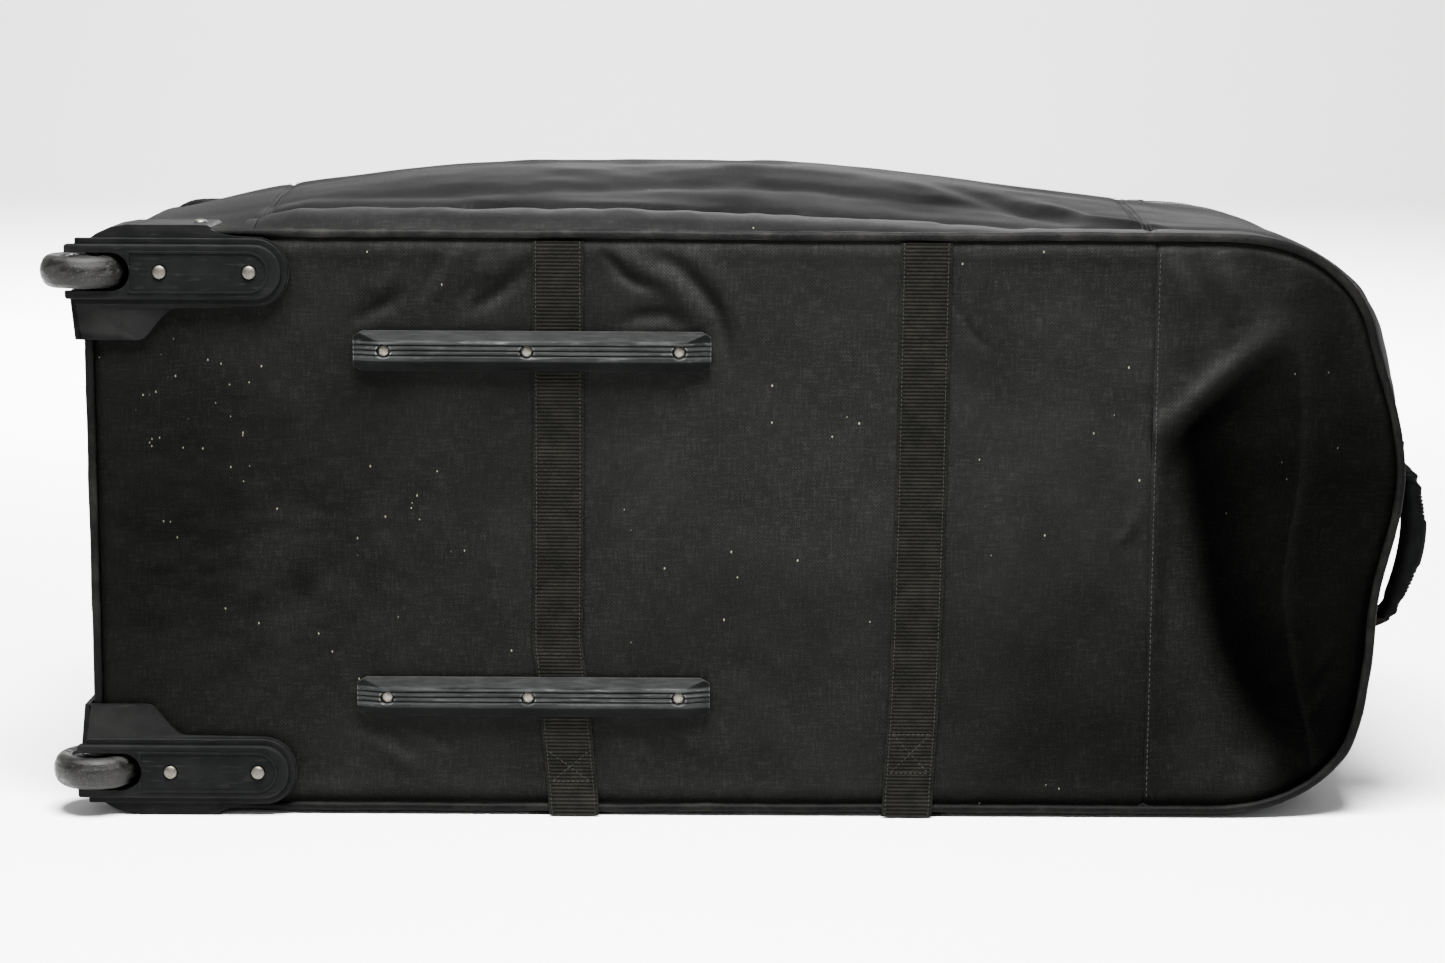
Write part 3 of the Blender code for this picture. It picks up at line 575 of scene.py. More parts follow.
def around(start_x, step=7.0, fine=1):
    """The three sides from a point on the upper side, round the nose, to the lower side."""
    return chain(
        side_stations(1, start_x, CORNER_X, step),
        nose_stations(fine),
        side_stations(-1, CORNER_X, start_x, step),
    )


def run_length(stations):
    steps = np.hypot(np.diff(stations[:, 0]), np.diff(stations[:, 1]))
    return np.concatenate([[0], np.cumsum(steps)])


# The fabric's relief.


def upper_height(x, d):
    """How far the upper side stands past the outline."""
    left = 1 - np.clip((-150 - x) / 329, 0, 1) ** 1.65
    right = 1 - np.clip((x - 16) / 404, 0, 1) ** 1.2
    full = np.minimum(left, right)
    roll = np.interp(x, [-479, -400, -330, -150, 0, 200, 361, 450], [0, 3, 20, 22, 18, 8, 6, 3])
    ridge = np.maximum(45.5 * full, roll)
    swell = np.sqrt(1 - (1 - np.clip((d - 3.0) / 44.0, 0, 1)) ** 2)
    out = roll * swell + (ridge - roll) * smooth(62, 200, d) ** 0.9
    crease = 9.0 * bump_at(d, 62 + 4 * np.sin(x / 60), 12) * roll / 22
    pinch = 0.9 * noise(x, d * 0.5, 13, 14) + 0.7 * noise(x, d, 30, 15)
    crease = crease + pinch * bump_at(d, 46, 18) * smooth(0, 10, roll)
    out = out - crease - 2.2 * bump_at(d, 118 + 14 * np.sin(x / 95 + 1), 12) * full
    out = np.where(x < -370, out * smooth(50, 120, d), out)
    lumps = 1.6 * noise(x, d * 2.2, 80, 3) + 0.8 * noise(x, d * 1.5, 28, 4)
    out = out + lumps * smooth(10, 40, d) * smooth(-360, -300, x) * full
    out = out + fold(x, d, [(230, 150), (275, 95), (330, 60)], 10, 4.5)
    out = out + fold(x, d, [(150, 190), (220, 120), (262, 70)], 14, -3.0)
    zip_swell = ZIP_SWELL * (1 - 0.6 * smooth(345, 420, x)) * (1 - 0.8 * smooth(-372, -440, x))
    return out * (1 - smooth(225, 280, d)) + zip_swell * smooth(200, 280, d)


def lower_height(x, d):
    near_wheel = np.where(x < -370, smooth(52, 90, d), 1.0)
    out = 7.0 * smooth(8, 40, d) * near_wheel + 2.5 * smooth(172, 190, d)
    hem = smooth(255, 275, d)
    return out * (1 - hem) + LOWER_ZIP_SWELL * hem


def side_height(stations, d):
    """Height of the side over its outline, for stations against depths."""
    x, w, out_x, out_w = (stations[:, i][:, None] for i in range(4))
    d = np.atleast_2d(np.asarray(d, float))
    hem = smooth(0, 9, DEPTH - 5.5 - d)
    end = np.abs(out_x) * 8.0 * np.sin(pi * d / DEPTH) ** 0.75
    upper = np.maximum(out_w, 0) * upper_height(x, d)
    lower = np.maximum(-out_w, 0) * lower_height(x, d)
    bulge = bump_at(w, 120, 66) * np.sin(pi * np.clip(d / 250, 0, 1)) ** 0.8
    end = end + 19.0 * smooth(0.2, 0.9, out_x) * bulge
    ripple = 1.3 * noise(w * 1.4, d, 60, 8) + 0.6 * noise(w * 2.5, d * 0.6, 24, 9)
    ripple = ripple * np.abs(out_x) * smooth(6, 40, d) * (1 - smooth(255, 283, d))
    welt = 3.4 * bump_at(d, 0, 4.5) + 2.0 * bump_at(d, DEPTH, 4.0)
    return (end + ripple + upper + lower) * hem + welt


def side_piece(name, stations, d, thick, material, body, slot, inset=0.0, ends=(0, 0), shaded=True):
    """A closed piece of the sides over a grid of depths. Its ends can sink into a seam."""
    d = np.atleast_2d(np.asarray(d, float))
    high = side_height(stations, d) - inset
    run = run_length(stations)[:, None]
    for at, sink in zip((run, run[-1] - run), ends):
        high = high - sink * bump_at(at, 0, 3.5)
    out = stations[:, None, 2:4]
    ground = stations[:, None, :2]
    deep = np.broadcast_to(d, high.shape)[..., None]
    outer, inner = (
        np.concatenate([ground + out * level[..., None], deep], -1)
        for level in (high, high - thick)
    )
    tone = side_shade(stations, d) if shaded else 1.0
    return shell(name, outer, inner, material, body, slot, spread(run, d), tone=tone)


def side_shade(stations, d):
    """Painted light and shade on the sides, on the upper side only: a painted highlight along the crest of
    its roll and painted shade in the crease behind it, a painted shadow patch and darkening towards the
    nose, and a random mottle.
    """
    x, out_w = stations[:, 0][:, None], np.maximum(stations[:, 3], 0)[:, None]
    line = 46 + 3 * np.sin(x / 60)
    rolled = smooth(-400, -330, x) * (1 - smooth(300, 420, x))
    roll = 0.75 * bump_at(d, line - 5, 8) - 0.65 * bump_at(d, line + 11, 9)
    roll = (roll + 0.35 * bump_at(d, 26, 14)) * rolled
    mottle = 0.2 * noise(x + 0 * d, d * 3, 60, 17) + 0.12 * noise(x + 0 * d, d * 3, 19, 18)
    shadow = 0.35 * bump_at(x, 152, 34) * bump_at(d, 130, 45) + 0.22 * smooth(120, 260, x)
    return 1 + out_w * (-0.15 + roll + mottle - shadow)


def half_height(x, inset):
    """Half the width of the underside at a place along it."""
    x = np.asarray(x, float)

    def round_edge(radius, along):
        return np.sqrt(np.clip((radius - inset) ** 2 - along**2, 0, None))

    edge = HALF_WIDTH - inset
    heel = HALF_WIDTH - HEEL_RADIUS + round_edge(HEEL_RADIUS, np.clip(HEEL_X + HEEL_RADIUS - x, 0, None))
    out = np.where(x < HEEL_X + HEEL_RADIUS, heel, edge)
    out = np.where(x > CORNER_X, CORNER_W + round_edge(NOSE_CORNER_RADIUS, x - CORNER_X), out)
    meet = NOSE_CENTRE_X + (NOSE_RADIUS - inset) * cos(radians(CORNER_ANGLE))
    return np.where(x > meet, round_edge(NOSE_RADIUS, x - NOSE_CENTRE_X), out)


def edge_distance(x, w):
    """Rough distance from a point on the underside to its outline."""
    across = half_height(x, 0.0) - np.abs(w)
    nose = NOSE_RADIUS - np.hypot(x - NOSE_CENTRE_X, w)
    along = np.minimum(x - HEEL_X, np.where(x > CORNER_X, nose, 1e3))
    return np.minimum(across, along)


def base_relief(x, w):
    """How far the underside stands out from its plane, towards the wheels' side."""
    edge = edge_distance(x, w)
    out = -1.7 * bump_at(edge, 0, 4.0) + 0.5 * bump_at(edge, 11, 6)
    lumps = 0.9 * noise(x, w, 130, 21) + 0.45 * noise(x, w * 0.7, 48, 22) + 0.16 * noise(x, w, 16, 23)
    out = out + smooth(4, 30, edge) * lumps
    out = out + PUCKER * folds(x, w, PUCKERS) * smooth(2, 16, edge)
    return out - 1.3 * bump_at(x, NOSE_SEAM_X, 1.8)


# Puckers in the underside, as (line of points, width, height).
PUCKER = 1.3
PUCKERS = (
    ([(-290, 150), (-272, 160), (-258, 166), (-248, 180)], 6, -1.5),
    ([(-276, 172), (-262, 180), (-252, 196)], 8, 1.0),
    ([(-221, 204), (-228, 186), (-238, 166)], 5, -1.0),
    ([(-210, 206), (-216, 188), (-224, 166)], 7, 1.3),
    ([(-194, 190), (-200, 178), (-208, 163)], 5, -1.3),
    ([(-182, 203), (-190, 190), (-200, 178)], 6, 1.2),
    ([(-157, 192), (-172, 178), (-186, 168), (-206, 158)], 6, -1.7),
    ([(-160, 206), (-176, 192), (-188, 184)], 7, 1.1),
    ([(-103, 208), (-96, 200), (-88, 189), (-76, 181), (-62, 178)], 4.5, -1.7),
    ([(-96, 210), (-80, 197), (-64, 188), (-50, 178)], 7, 1.4),
    ([(-62, 206), (-44, 194), (-27, 176), (-15, 159), (-11, 142), (-8, 126), (-6, 100)], 6, -2.6),
    ([(-66, 194), (-46, 177), (-32, 158), (-26, 146)], 9, 1.6),
    ([(-48, 208), (-24, 194), (-8, 174), (-1, 150), (2, 124)], 9, 1.5),
    ([(-88, 152), (-72, 157), (-54, 158), (-38, 150)], 6, -1.6),
    ([(-42, 112), (-44, 92), (-44, 66)], 5, -0.8),
    ([(-8, 110), (-4, 70), (-8, 20)], 10, -0.9),
    ([(-30, 108), (-28, 70), (-30, 30)], 9, 0.7),
    ([(-288, -152), (-268, -160), (-244, -176)], 7, -1.1),
    ([(-284, -160), (-262, -176), (-236, -192)], 8, 1.0),
    ([(-262, -152), (-236, -160), (-210, -172)], 6, -0.8),
    ([(-110, -150), (-90, -160), (-62, -170)], 7, -0.9),
    ([(-70, -152), (-40, -164), (-6, -180)], 9, 0.8),
    ([(182, 208), (176, 180), (168, 150)], 9, 0.8),
    ([(300, 16), (292, -4), (284, -14)], 5, 1.3),
    ([(158, 170), (172, 146), (190, 132)], 3.5, -0.7),
    ([(200, 205), (208, 120), (214, 40), (208, -60)], 22, 0.7),
    ([(60, 190), (70, 90), (62, 0), (70, -120)], 30, 0.7),
)


NOSE_FOLDS = (
    ([(320, 205), (332, 170), (336, 130)], 7, 2.2),
    ([(334, 207), (346, 172), (352, 140)], 6, -1.6),
    ([(352, 208), (362, 178), (366, 150)], 8, 2.4),
    ([(372, 206), (384, 180), (388, 160)], 8, -1.4),
    ([(398, 196), (404, 170), (404, 140)], 9, 1.4),
    ([(452, 110), (446, 70), (450, 30)], 9, 1.6),
    ([(322, -60), (330, -110), (326, -170)], 14, 2.0),
    ([(350, -150), (362, -185), (358, -208)], 8, 1.4),
    ([(440, -118), (452, -104), (462, -88)], 4, 0.7),
    ([(434, -134), (446, -120), (456, -106)], 4, -0.6),
    ([(428, -150), (438, -138), (448, -126)], 4, 0.6),
    ([(316, 40), (322, 0), (320, -40)], 8, 1.6),
)


def below_crease(x, w):
    """How far a point of the nose lies below the crease that runs down from its upper rim."""
    line = np.interp(x, [309, 330, 352, 378, 404, 432, 470], [58, 75, 97, 122, 142, 150, 152])
    return (line - w) * 0.72 * (1 - smooth(392, 430, x))


def nose_relief(x, w):
    """The soft end of the underside, which sinks between its seam and its edge."""
    edge = edge_distance(x, w)
    seam = x - NOSE_SEAM_X
    below = below_crease(x, w)
    out = -2.6 * bump_at(edge, 0, 5.0) - 1.3 * bump_at(seam, 0, 1.8)
    out = out - 9.0 * smooth(0, 60, edge) * smooth(0, 45, seam) * bump_at(w, -10, 150)
    far = smooth(385, 425, x)
    past = smooth(-6, 24, below) * (1 - far) + far
    out = out - 9.0 * past * bump_at(w, 10, 190) * smooth(0, 40, edge) * smooth(0, 18, seam)
    out = out + 4.5 * bump_at(below, -8, 9) * bump_at(w, 105, 50) * (1 - smooth(380, 410, x))
    rim = [(392, -70), (402, -110), (398, -150), (380, -185)]
    out = out + fold(x, w, rim, 16, -4.0) * smooth(0, 25, edge) + folds(x, w, NOSE_FOLDS)
    quiet = smooth(4, 26, edge) * smooth(2, 20, seam)
    return out + quiet * (0.9 * noise(x, w, 60, 31) + 0.35 * noise(x, w, 20, 32))


# Stitches.

STITCH_SHAPE = ((0.0, 0.25), (0.18, 0.9), (0.82, 0.9), (1.0, 0.25))
STITCH_SIDES = 6


def resampled(path, step):
    path = np.asarray(path, float)
    run = np.concatenate([[0], np.cumsum(np.linalg.norm(np.diff(path, axis=0), axis=1))])
    at = np.linspace(0, run[-1], max(2, int(run[-1] / step) + 1))
    return np.stack([np.interp(at, run, path[:, k]) for k in range(3)], 1)


def stitches(name, paths, body, length=3.0, gap=1.2, radius=0.36, material=THREAD):
    """Rows of thread laid along paths of (x, w, d) points, one closed bead per stitch."""
    verts, faces = [], []
    for path in paths:
        dots = resampled(path, length + gap)
        for a, run in zip(dots, np.diff(dots, axis=0)):
            along = run / np.linalg.norm(run)
            across = np.cross(along, (0.31, 0.52, 0.79))
            across /= np.linalg.norm(across)
            other = np.cross(along, across)
            base = len(verts)
            for t, wide in STITCH_SHAPE:
                centre = a + run * (t * length / (length + gap))
                for turn in circle(STITCH_SIDES):
                    verts.append(centre + radius * wide * (cos(turn) * across + sin(turn) * other))
            starts = [base + i * STITCH_SIDES for i in range(len(STITCH_SHAPE))]
            for here, there in zip(starts, starts[1:]):
                faces += band_faces(here, there, STITCH_SIDES)
            faces += cap_faces(base, starts[-1], STITCH_SIDES)
    mesh_object(name, place(np.array(verts)), faces, material, body)


# The underside.

PANEL_STEP = 2.2
WELT = 2.2
WELL_X, WELL_W = -445.9, 167.7
# How strongly the underside's slopes are painted: lighter where they face up, darker where they face down.
SLOPE_SHADE = 1.35

# Where lint gathers on the underside, as (x, w, size, share).
LINT = (
    (-400, 84, 46, 0.55),
    (-425, 72, 30, 0.5),
    (-245, 16, 34, 0.4),
    (-330, 8, 40, 0.10),
    (-190, -6, 22, 0.14),
    (90, 74, 13, 0.8),
    (425, 96, 22, 0.3),
    (448, 58, 16, 0.3),
    (329, 0, 9, 0.7),
    (365, -105, 7, 0.5),
    (20, -10, 60, 0.06),
    (-60, -60, 60, 0.05),
    (180, 20, 60, 0.05),
)
LINT_EVERYWHERE = 0.014


def across_panel(count):
    """Places from edge to edge of a panel, closer together near its edges."""
    t = np.linspace(-1, 1, count)
    return np.sign(t) * (1 - (1 - np.abs(t)) ** 1.25)


def underside_piece(name, first, last, relief, fill, node):
    """A panel of the underside between two places along it."""
    columns = np.arange(first, last - PANEL_STEP, PANEL_STEP)
    columns = np.concatenate([columns, [last - 1.0, last]])
    if first < WELL_X:
        columns = np.sort(np.concatenate([columns, [WELL_X - 0.05, WELL_X + 0.05]]))
    half = half_height(columns, EDGE_INSET)
    half = np.where(columns < WELL_X, np.minimum(half, WELL_W), half + WELT)
    x, w = np.broadcast_arrays(columns[:, None], half[:, None] * across_panel(191))
    d = -relief(x, w)
    outer, inner = spread(x, w, d), spread(x, w, np.maximum(d + 1.2, 3.2))
    step = 0.5
    rising = (relief(x, w + step) - relief(x, w - step)) / (2 * step)
    # Painted light and shade: slopes facing up are painted lighter and slopes facing down darker, times
    # the painted light and shade over the panel.
    tone = np.clip(np.exp(-SLOPE_SHADE * rising), 0.25, 2.6) * panel_shade_and_wear(x, w)
    gathered = [share * bump_at(x, cx, size) * bump_at(w, cw, size) for cx, cw, size, share in LINT]
    lint = sum(gathered) + LINT_EVERYWHERE
    flat = spread(x, w)
    obj = shell(name, outer, inner, BASE_NYLON, "bag", "nylon", flat, tone=tone, lint=lint)
    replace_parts(obj, node)


def panel_shade_and_wear(x, w):
    """Painted light and shade over the underside, with a worn patch near the heel and random tone: lighter
    in the middle, darker towards the heel, over the lower half towards the nose and along the edge, and
    much darker over the far part of the nose end.
    """
    tone = 0.88 + 0.33 * bump_at(x, 120, 260) * bump_at(w, 60, 170)
    tone = tone - 0.3 * smooth(-330, -470, x) - 0.25 * bump_at(x, -350, 120) * bump_at(w, 0, 110)
    tone = tone - 0.35 * smooth(40, -160, w) * smooth(60, 260, x)
    worn = 0.28 * noise(x * 0.5, w * 1.5, 9, 92) + 0.2 * noise(x, w * 1.6, 30, 93)
    tone = tone * (1 + worn * bump_at(x, -365, 110) * bump_at(w, -20, 90))
    tone = tone * (1 + 0.07 * noise(x * 0.6, w, 20, 94) + 0.06 * noise(x, w, 70, 95))
    tone = tone * (1 - 0.5 * bump_at(edge_distance(x, w), 0, 3.0))
    # Painted shade over the far part of the nose end, which curves away from the light: darkest in its
    # valley, less dark higher up.
    edge_x = np.interp(w, [-214, -150, -90, -40, 0, 74], [404, 384, 358, 345, 338, 322])
    right = smooth(-20, 18, x - edge_x) * smooth(-4, 8, below_crease(x, w))
    right = np.maximum(right, smooth(392, 440, x))
    line = np.interp(w, [-214, -160, -100, -56, 4, 75, 110], [425, 412, 384, 366, 350, 340, 372])
    valley = bump_at(x, line, 42) * smooth(135, 80, w) * smooth(-205, -130, w)
    lit = 0.26 + 0.34 * smooth(30, 160, w)
    return tone * (1 - right * (1 - lit * (1 - 0.66 * valley)))


def make_underside():
    base_ends = HEEL_X + 0.6, NOSE_SEAM_X - 0.05
    underside_piece("underside_fabric", *base_ends, base_relief, 0.5, "base_panel")
    nose_ends = NOSE_SEAM_X + 0.05, NOSE_TIP_X - 0.8
    underside_piece("nose_underside", *nose_ends, nose_relief, 0.25, "nose_panel")
    w = np.linspace(-207, 207, 120)
    x = np.full(w.shape, NOSE_SEAM_X + 2.6)
    stitches("nose_seam_stitches", [spread(x, w, -nose_relief(x, w) - 0.1)], "bag")


# The sides.

SIDE_TOP = 286.0
SEAM_GAP = 0.25
WALL_THICK = 1.6


def wall_rows(first, last, step=3.4):
    return np.linspace(first, last, max(3, round((last - first) / step) + 1))


def make_side(name, stations, node):
    rows = wall_rows(1.6, SIDE_TOP)
    ends = (1.8, 1.8)
    obj = side_piece(name, stations, rows, WALL_THICK, SIDE_NYLON, "bag", "nylon", ends=ends)
    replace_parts(obj, node)


def make_sides():
    first, last = HEEL_SEAM_X + SEAM_GAP, NOSE_SEAM_X - SEAM_GAP
    make_side("upper_side_fabric", side_stations(1, first, last, 3.2), "upper_side_wall")
    make_side("lower_side_fabric", side_stations(-1, last, first, 4.0), "lower_side_wall")
    nose = around(NOSE_SEAM_X + SEAM_GAP, 3.4, 2)
    make_side("nose_side_fabric", nose, "nose_wall")
    make_wheel_end()
    rows = []
    for side in (1, -1):
        for seam, first_d in ((NOSE_SEAM_X, 6.0), (HEEL_SEAM_X, 56.0)):
            for x in (seam - 3.2, seam + 3.2):
                line = np.tile([x, side * HALF_WIDTH, 0, side], (100, 1))
                rows.append(skin_line(line, np.linspace(first_d, 280, 100), 0.1))
    stitches("side_seam_stitches", rows, "bag")
    hem_stitches("zip_hem_stitches", around(HEEL_SEAM_X + 4), SIDE_TOP - 2.6, "bag")


def hem_stitches(name, stations, d, body):
    line = skin_line(stations, np.full(len(stations), d), 0.05)
    stitches(name, [line], body, 2.6, 1.4, 0.32)


def skin_line(stations, d, lift):
    """A line on the side, with one depth for each station."""
    high = side_height(stations, d[:, None]) + lift
    return np.concatenate([stations[:, :2] + stations[:, 2:] * high, d[:, None]], 1)


def make_wheel_end():
    """The heel wall. It starts above the wheel buckets at both corners."""
    first = HEEL_SEAM_X - SEAM_GAP
    x, w = HEEL_X + HEEL_RADIUS, HALF_WIDTH - HEEL_RADIUS
    inside, outside = WELL_W - 0.05, WELL_W + 0.05
    stations = chain(
        side_stations(-1, first, WELL_X + 0.05, 4),
        side_stations(-1, WELL_X - 0.05, x, 3),
        arc((x, -w), HEEL_RADIUS, -90, -180, 14),
        straight((HEEL_X, -w), (HEEL_X, -outside), (-1, 0), 4),
        straight((HEEL_X, -inside), (HEEL_X, inside), (-1, 0), 90),
        straight((HEEL_X, outside), (HEEL_X, w), (-1, 0), 4),
        arc((x, w), HEEL_RADIUS, 180, 90, 14),
        side_stations(1, x, WELL_X - 0.05, 3),
        side_stations(1, WELL_X + 0.05, first, 4),
    )
    at_well = (stations[:, 0] < WELL_X) & (np.abs(stations[:, 1]) > WELL_W)
    start = np.where(at_well, 43.6, 1.6)[:, None]
    d = start + (DEPTH - 1.6 - start) * np.linspace(0, 1, 84)
    look = (WALL_THICK, SIDE_NYLON, "bag", "nylon")
    obj = side_piece("wheel_end_fabric", stations, d, *look, ends=(1.6, 1.6), shaded=False)
    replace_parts(obj, "wheel_end_wall")


# The lid.


def lid_relief(x, w):
    edge = edge_distance(x, w)
    rows = []
    for i in range(7):
        x0 = -300 + 115 * i
        tilt = 30 * sin(2.1 * i)
        rows.append(([(x0, 200), (x0 + tilt, 130), (x0 + tilt + 20, 70)], 11, 2.2))
        rows.append(([(x0 + 30, -200), (x0 + 30 - tilt, -140), (x0 + 20, -80)], 12, 1.9))
    lumps = 1.6 * noise(x, w, 90, 41) + 0.7 * noise(x, w, 34, 42)
    out = 5.5 * smooth(0, 80, edge) - 1.2 * bump_at(edge, 0, 5.0)
    return out + smooth(4, 30, edge) * (lumps + folds(x, w, rows))


def lid_piece(name, first, last, node, body):
    columns = np.linspace(first, last, max(12, round((last - first) / 4.2)))
    half = half_height(columns, EDGE_INSET) + WELT
    x, w = np.broadcast_arrays(columns[:, None], half[:, None] * across_panel(111))
    fade = smooth(0, 26, x - HEEL_SEAM_X) if first > HEEL_SEAM_X else 0.3
    d = DEPTH - 1.0 + lid_relief(x, w) * fade
    outer, inner = spread(x, w, d), spread(x, w, np.minimum(d - 1.4, DEPTH - 3.6))
    obj = shell(name, outer, inner, LID_NYLON, body, "nylon", spread(x, w))
    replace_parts(obj, node)


def make_lid():
    lid_piece("lid_fabric", HEEL_SEAM_X + 0.5, NOSE_TIP_X - 0.8, "lid_panel", "lid")
    lid_piece("lid_heel_fabric", HEEL_X - 1.6, HEEL_SEAM_X - 0.5, "lid_heel_panel", "bag")
    stations = around(HEEL_SEAM_X + 0.6)
    rows = wall_rows(294.5, DEPTH - 1.6, 2.6)
    gusset = side_piece("lid_gusset_fabric", stations, rows, 1.4, LID_NYLON, "lid", "nylon")
    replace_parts(gusset, "lid_gusset")
    hem_stitches("lid_hem_stitches", stations, 297.4, "lid")


# The zip.

TEETH_D = 290.0
TEETH_PITCH = 2.6
TOOTH = ((-0.5, 0.0), (0.5, 0.0), (0.62, 1.25), (0.0, 1.75), (-0.62, 1.25))


def make_tape(name, stations, depths, body, node):
    rows = wall_rows(*depths, 1.4)
    obj = side_piece(name, stations, rows, 0.7, LID_NYLON, body, "zip_tape", inset=1.0)
    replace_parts(obj, node)


def make_teeth(name, stations, body, side, phase):
    """One side of a closed coil zip: a row of short loops that cross the middle."""
    run = run_length(stations)
    at = np.arange(4 + phase * TEETH_PITCH, run[-1] - 4, TEETH_PITCH)
    along = np.stack([np.interp(at, run, stations[:, k]) for k in range(4)], 1)
    high = side_height(along, TEETH_D)[:, 0] - 1.0
    verts, faces = [], []
    for (x, w, out_x, out_w), level in zip(along, high):
        base = len(verts)
        for d in (TEETH_D - 3.0 * side, TEETH_D + 0.55 * side):
            for across, up in TOOTH:
                reach = level + up
                verts.append((x + out_x * reach - out_w * across, w + out_w * reach + out_x * across, d))
        faces += band_faces(base, base + len(TOOTH), len(TOOTH))
        faces += cap_faces(base, base + len(TOOTH), len(TOOTH))
    mesh_object(name, place(np.array(verts)), faces, TEETH, body, sharp=50)


def make_zip():
    stations = around(HEEL_SEAM_X + 0.6)
    make_tape("body_zip_tape", stations, (280.0, 289.8), "bag", "zip_tape_body")
    make_tape("lid_zip_tape", stations, (290.2, 300.0), "lid", "zip_tape_lid")
    make_teeth("body_zip_teeth", stations, "bag", 1, 0.0)
    make_teeth("lid_zip_teeth", stations, "lid", -1, 0.5)
    for side, sign in SIDES:
        make_slider(side, sign)
        make_pull(side, sign)


def outline_slab(name, outline, ease, material, node):
    """A slab on one long side in place of its node. Each end's edge is eased by (rise, inset)."""
    w_range = node_range(node)[1]
    sign = 1 if w_range[0] > 0 else -1
    low, high = sorted(abs(w) for w in w_range)
    (low_rise, low_inset), (high_rise, high_inset) = ease
    levels = [(low, low_inset), (low + low_rise, 0), (high - high_rise, 0), (high, high_inset)]
    points = np.asarray(outline, float)
    away = points - points.mean(axis=0)
    away /= np.maximum(np.linalg.norm(away, axis=1, keepdims=True), 1e-6)
    rings = []
    for level, inset in levels:
        x, d = (points - away * inset).T
        rings.append(spread(x, sign * level, d))
    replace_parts(tube(name, rings, material, node), node)


def make_slider(side, sign):
    node = f"zip_slider_{side}"
    x_range, _, d_range = node_range(node)
    half, wide = (x_range[1] - x_range[0]) / 2, (d_range[1] - d_range[0]) / 2
    outline = []
    for a in circle(36):
        along = half * cos(a) * (1 - 0.16 * sin(a) ** 2 * (cos(a) > 0))
        across = wide * np.sign(sin(a)) * abs(sin(a)) ** 0.7
        outline.append((middle(x_range) + along, middle(d_range) + across))
    outline_slab(f"slider_{side}", outline, ((0.6, 0.5), (0.9, 0.9)), ZIP_METAL, node)


def make_pull(side, sign):
    node = f"pull_tab_{side}"
    x_range, _, d_range = node_range(node)
    wide = (d_range[1] - d_range[0]) / 2
    outline = []
    for a in circle(48):
        t = 0.5 + 0.5 * cos(a)
        spare = sin(pi * min(1.0, 1.25 * (1 - t))) ** 0.8 if t < 0.999 else 0.0
        across = wide * (0.42 + 0.58 * spare) * np.sign(sin(a)) * abs(sin(a)) ** 0.6
        outline.append((x_range[0] + (x_range[1] - x_range[0]) * t, middle(d_range) + across))
    outline_slab(f"pull_{side}", outline, ((0.4, 0.4), (0.4, 0.4)), GRIP, node)


# Piping.

PIPING_SIDES = 16


def piping(name, stations, d, body, node, seed):
    run = run_length(stations)
    none, one = 0 * run, 0 * run + 1
    wave = 0.5 * noise(run, none, 70, seed) + 0.25 * noise(run, none, 18, seed + 1)
    radius = (3.3 + 0.18 * noise(run, one, 9, seed + 2))[:, None]
    angles = np.array(circle(PIPING_SIDES))
    reach = (3.6 + wave)[:, None] + radius * np.cos(angles)
    x, w, out_x, out_w = (stations[:, k : k + 1] for k in range(4))
    high = d + 0.4 * wave[:, None] + radius * np.sin(angles)
    rings = spread(x + out_x * reach, w + out_w * reach, high)
    flat = spread(run[:, None], radius * angles, 0) * MM
    # Painted light and shade on the piping: lighter on the upper side, darker on the lower side and round
    # the nose end, times random wear.
    dust_and_shade = 0.5 + 0.6 * smooth(-0.2, 0.8, out_w) * (1 - smooth(330, 450, x))
    worn = 1 + 0.3 * noise(run, one, 30, seed + 3)
    tone = np.repeat(dust_and_shade[:, 0] * worn, PIPING_SIDES)
    obj = tube(name, rings, PIPING, body, cloth=flat, tone=tone)
    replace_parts(obj, node)


def make_piping():
    start = node_range("piping_base")[0][0]
    piping("base_piping", around(start, 5), 1.3, "bag", "piping_base", 51)
    end_w = node_range("piping_wheel_end")[1]
    end = straight((HEEL_X, end_w[0]), (HEEL_X, end_w[1]), (-1, 0), 60)
    piping("wheel_end_piping", end, 0.6, "bag", "piping_wheel_end", 54)
    piping("lid_piping", around(HEEL_SEAM_X + 0.3), DEPTH - 0.6, "lid", "piping_lid", 57)
    piping("lid_heel_piping", heel_stations(), DEPTH - 0.6, "bag", "piping_lid_heel", 60)


# Straps.

STRAP_HALF = 19.0
RIB_PITCH = 2.8
STITCH_LINE = 0.86
BOX_HALF = 14.5


def strap_line(node, lean):
    """The middle line of a strap down the underside, as rows of x, w and d."""
    w = np.arange(212.5, -222.6, -RIB_PITCH / 4)
    x = middle(node_range(node)[0]) + np.interp(w, [-230, -150, -90, 20, 215], lean)
    d = np.interp(w, [-219, -214, -209, -200, 205, 213], [-5.2, -4.4, -2.6, -1.3, -1.3, -1.0])
    return x, w, d


def strap_lift(x, w):
    """How far a strap follows the rolls of the underside."""
    return np.maximum(base_relief(x, w), -1.0) * 0.5 * smooth(-205, -190, w)


def on_strap(x, w, d):
    return spread(x, w, d - strap_lift(x, w) - 0.95)


def strap_segment(line, start, end):
    """A straight row of stitches on a strap, between two places given as (across, w)."""
    x, w, d = line
    at = np.linspace(start[1], end[1], 24)
    shift = np.linspace(start[0], end[0], 24)
    return on_strap(np.interp(-at, -w, x) + shift, at, np.interp(-at, -w, d))


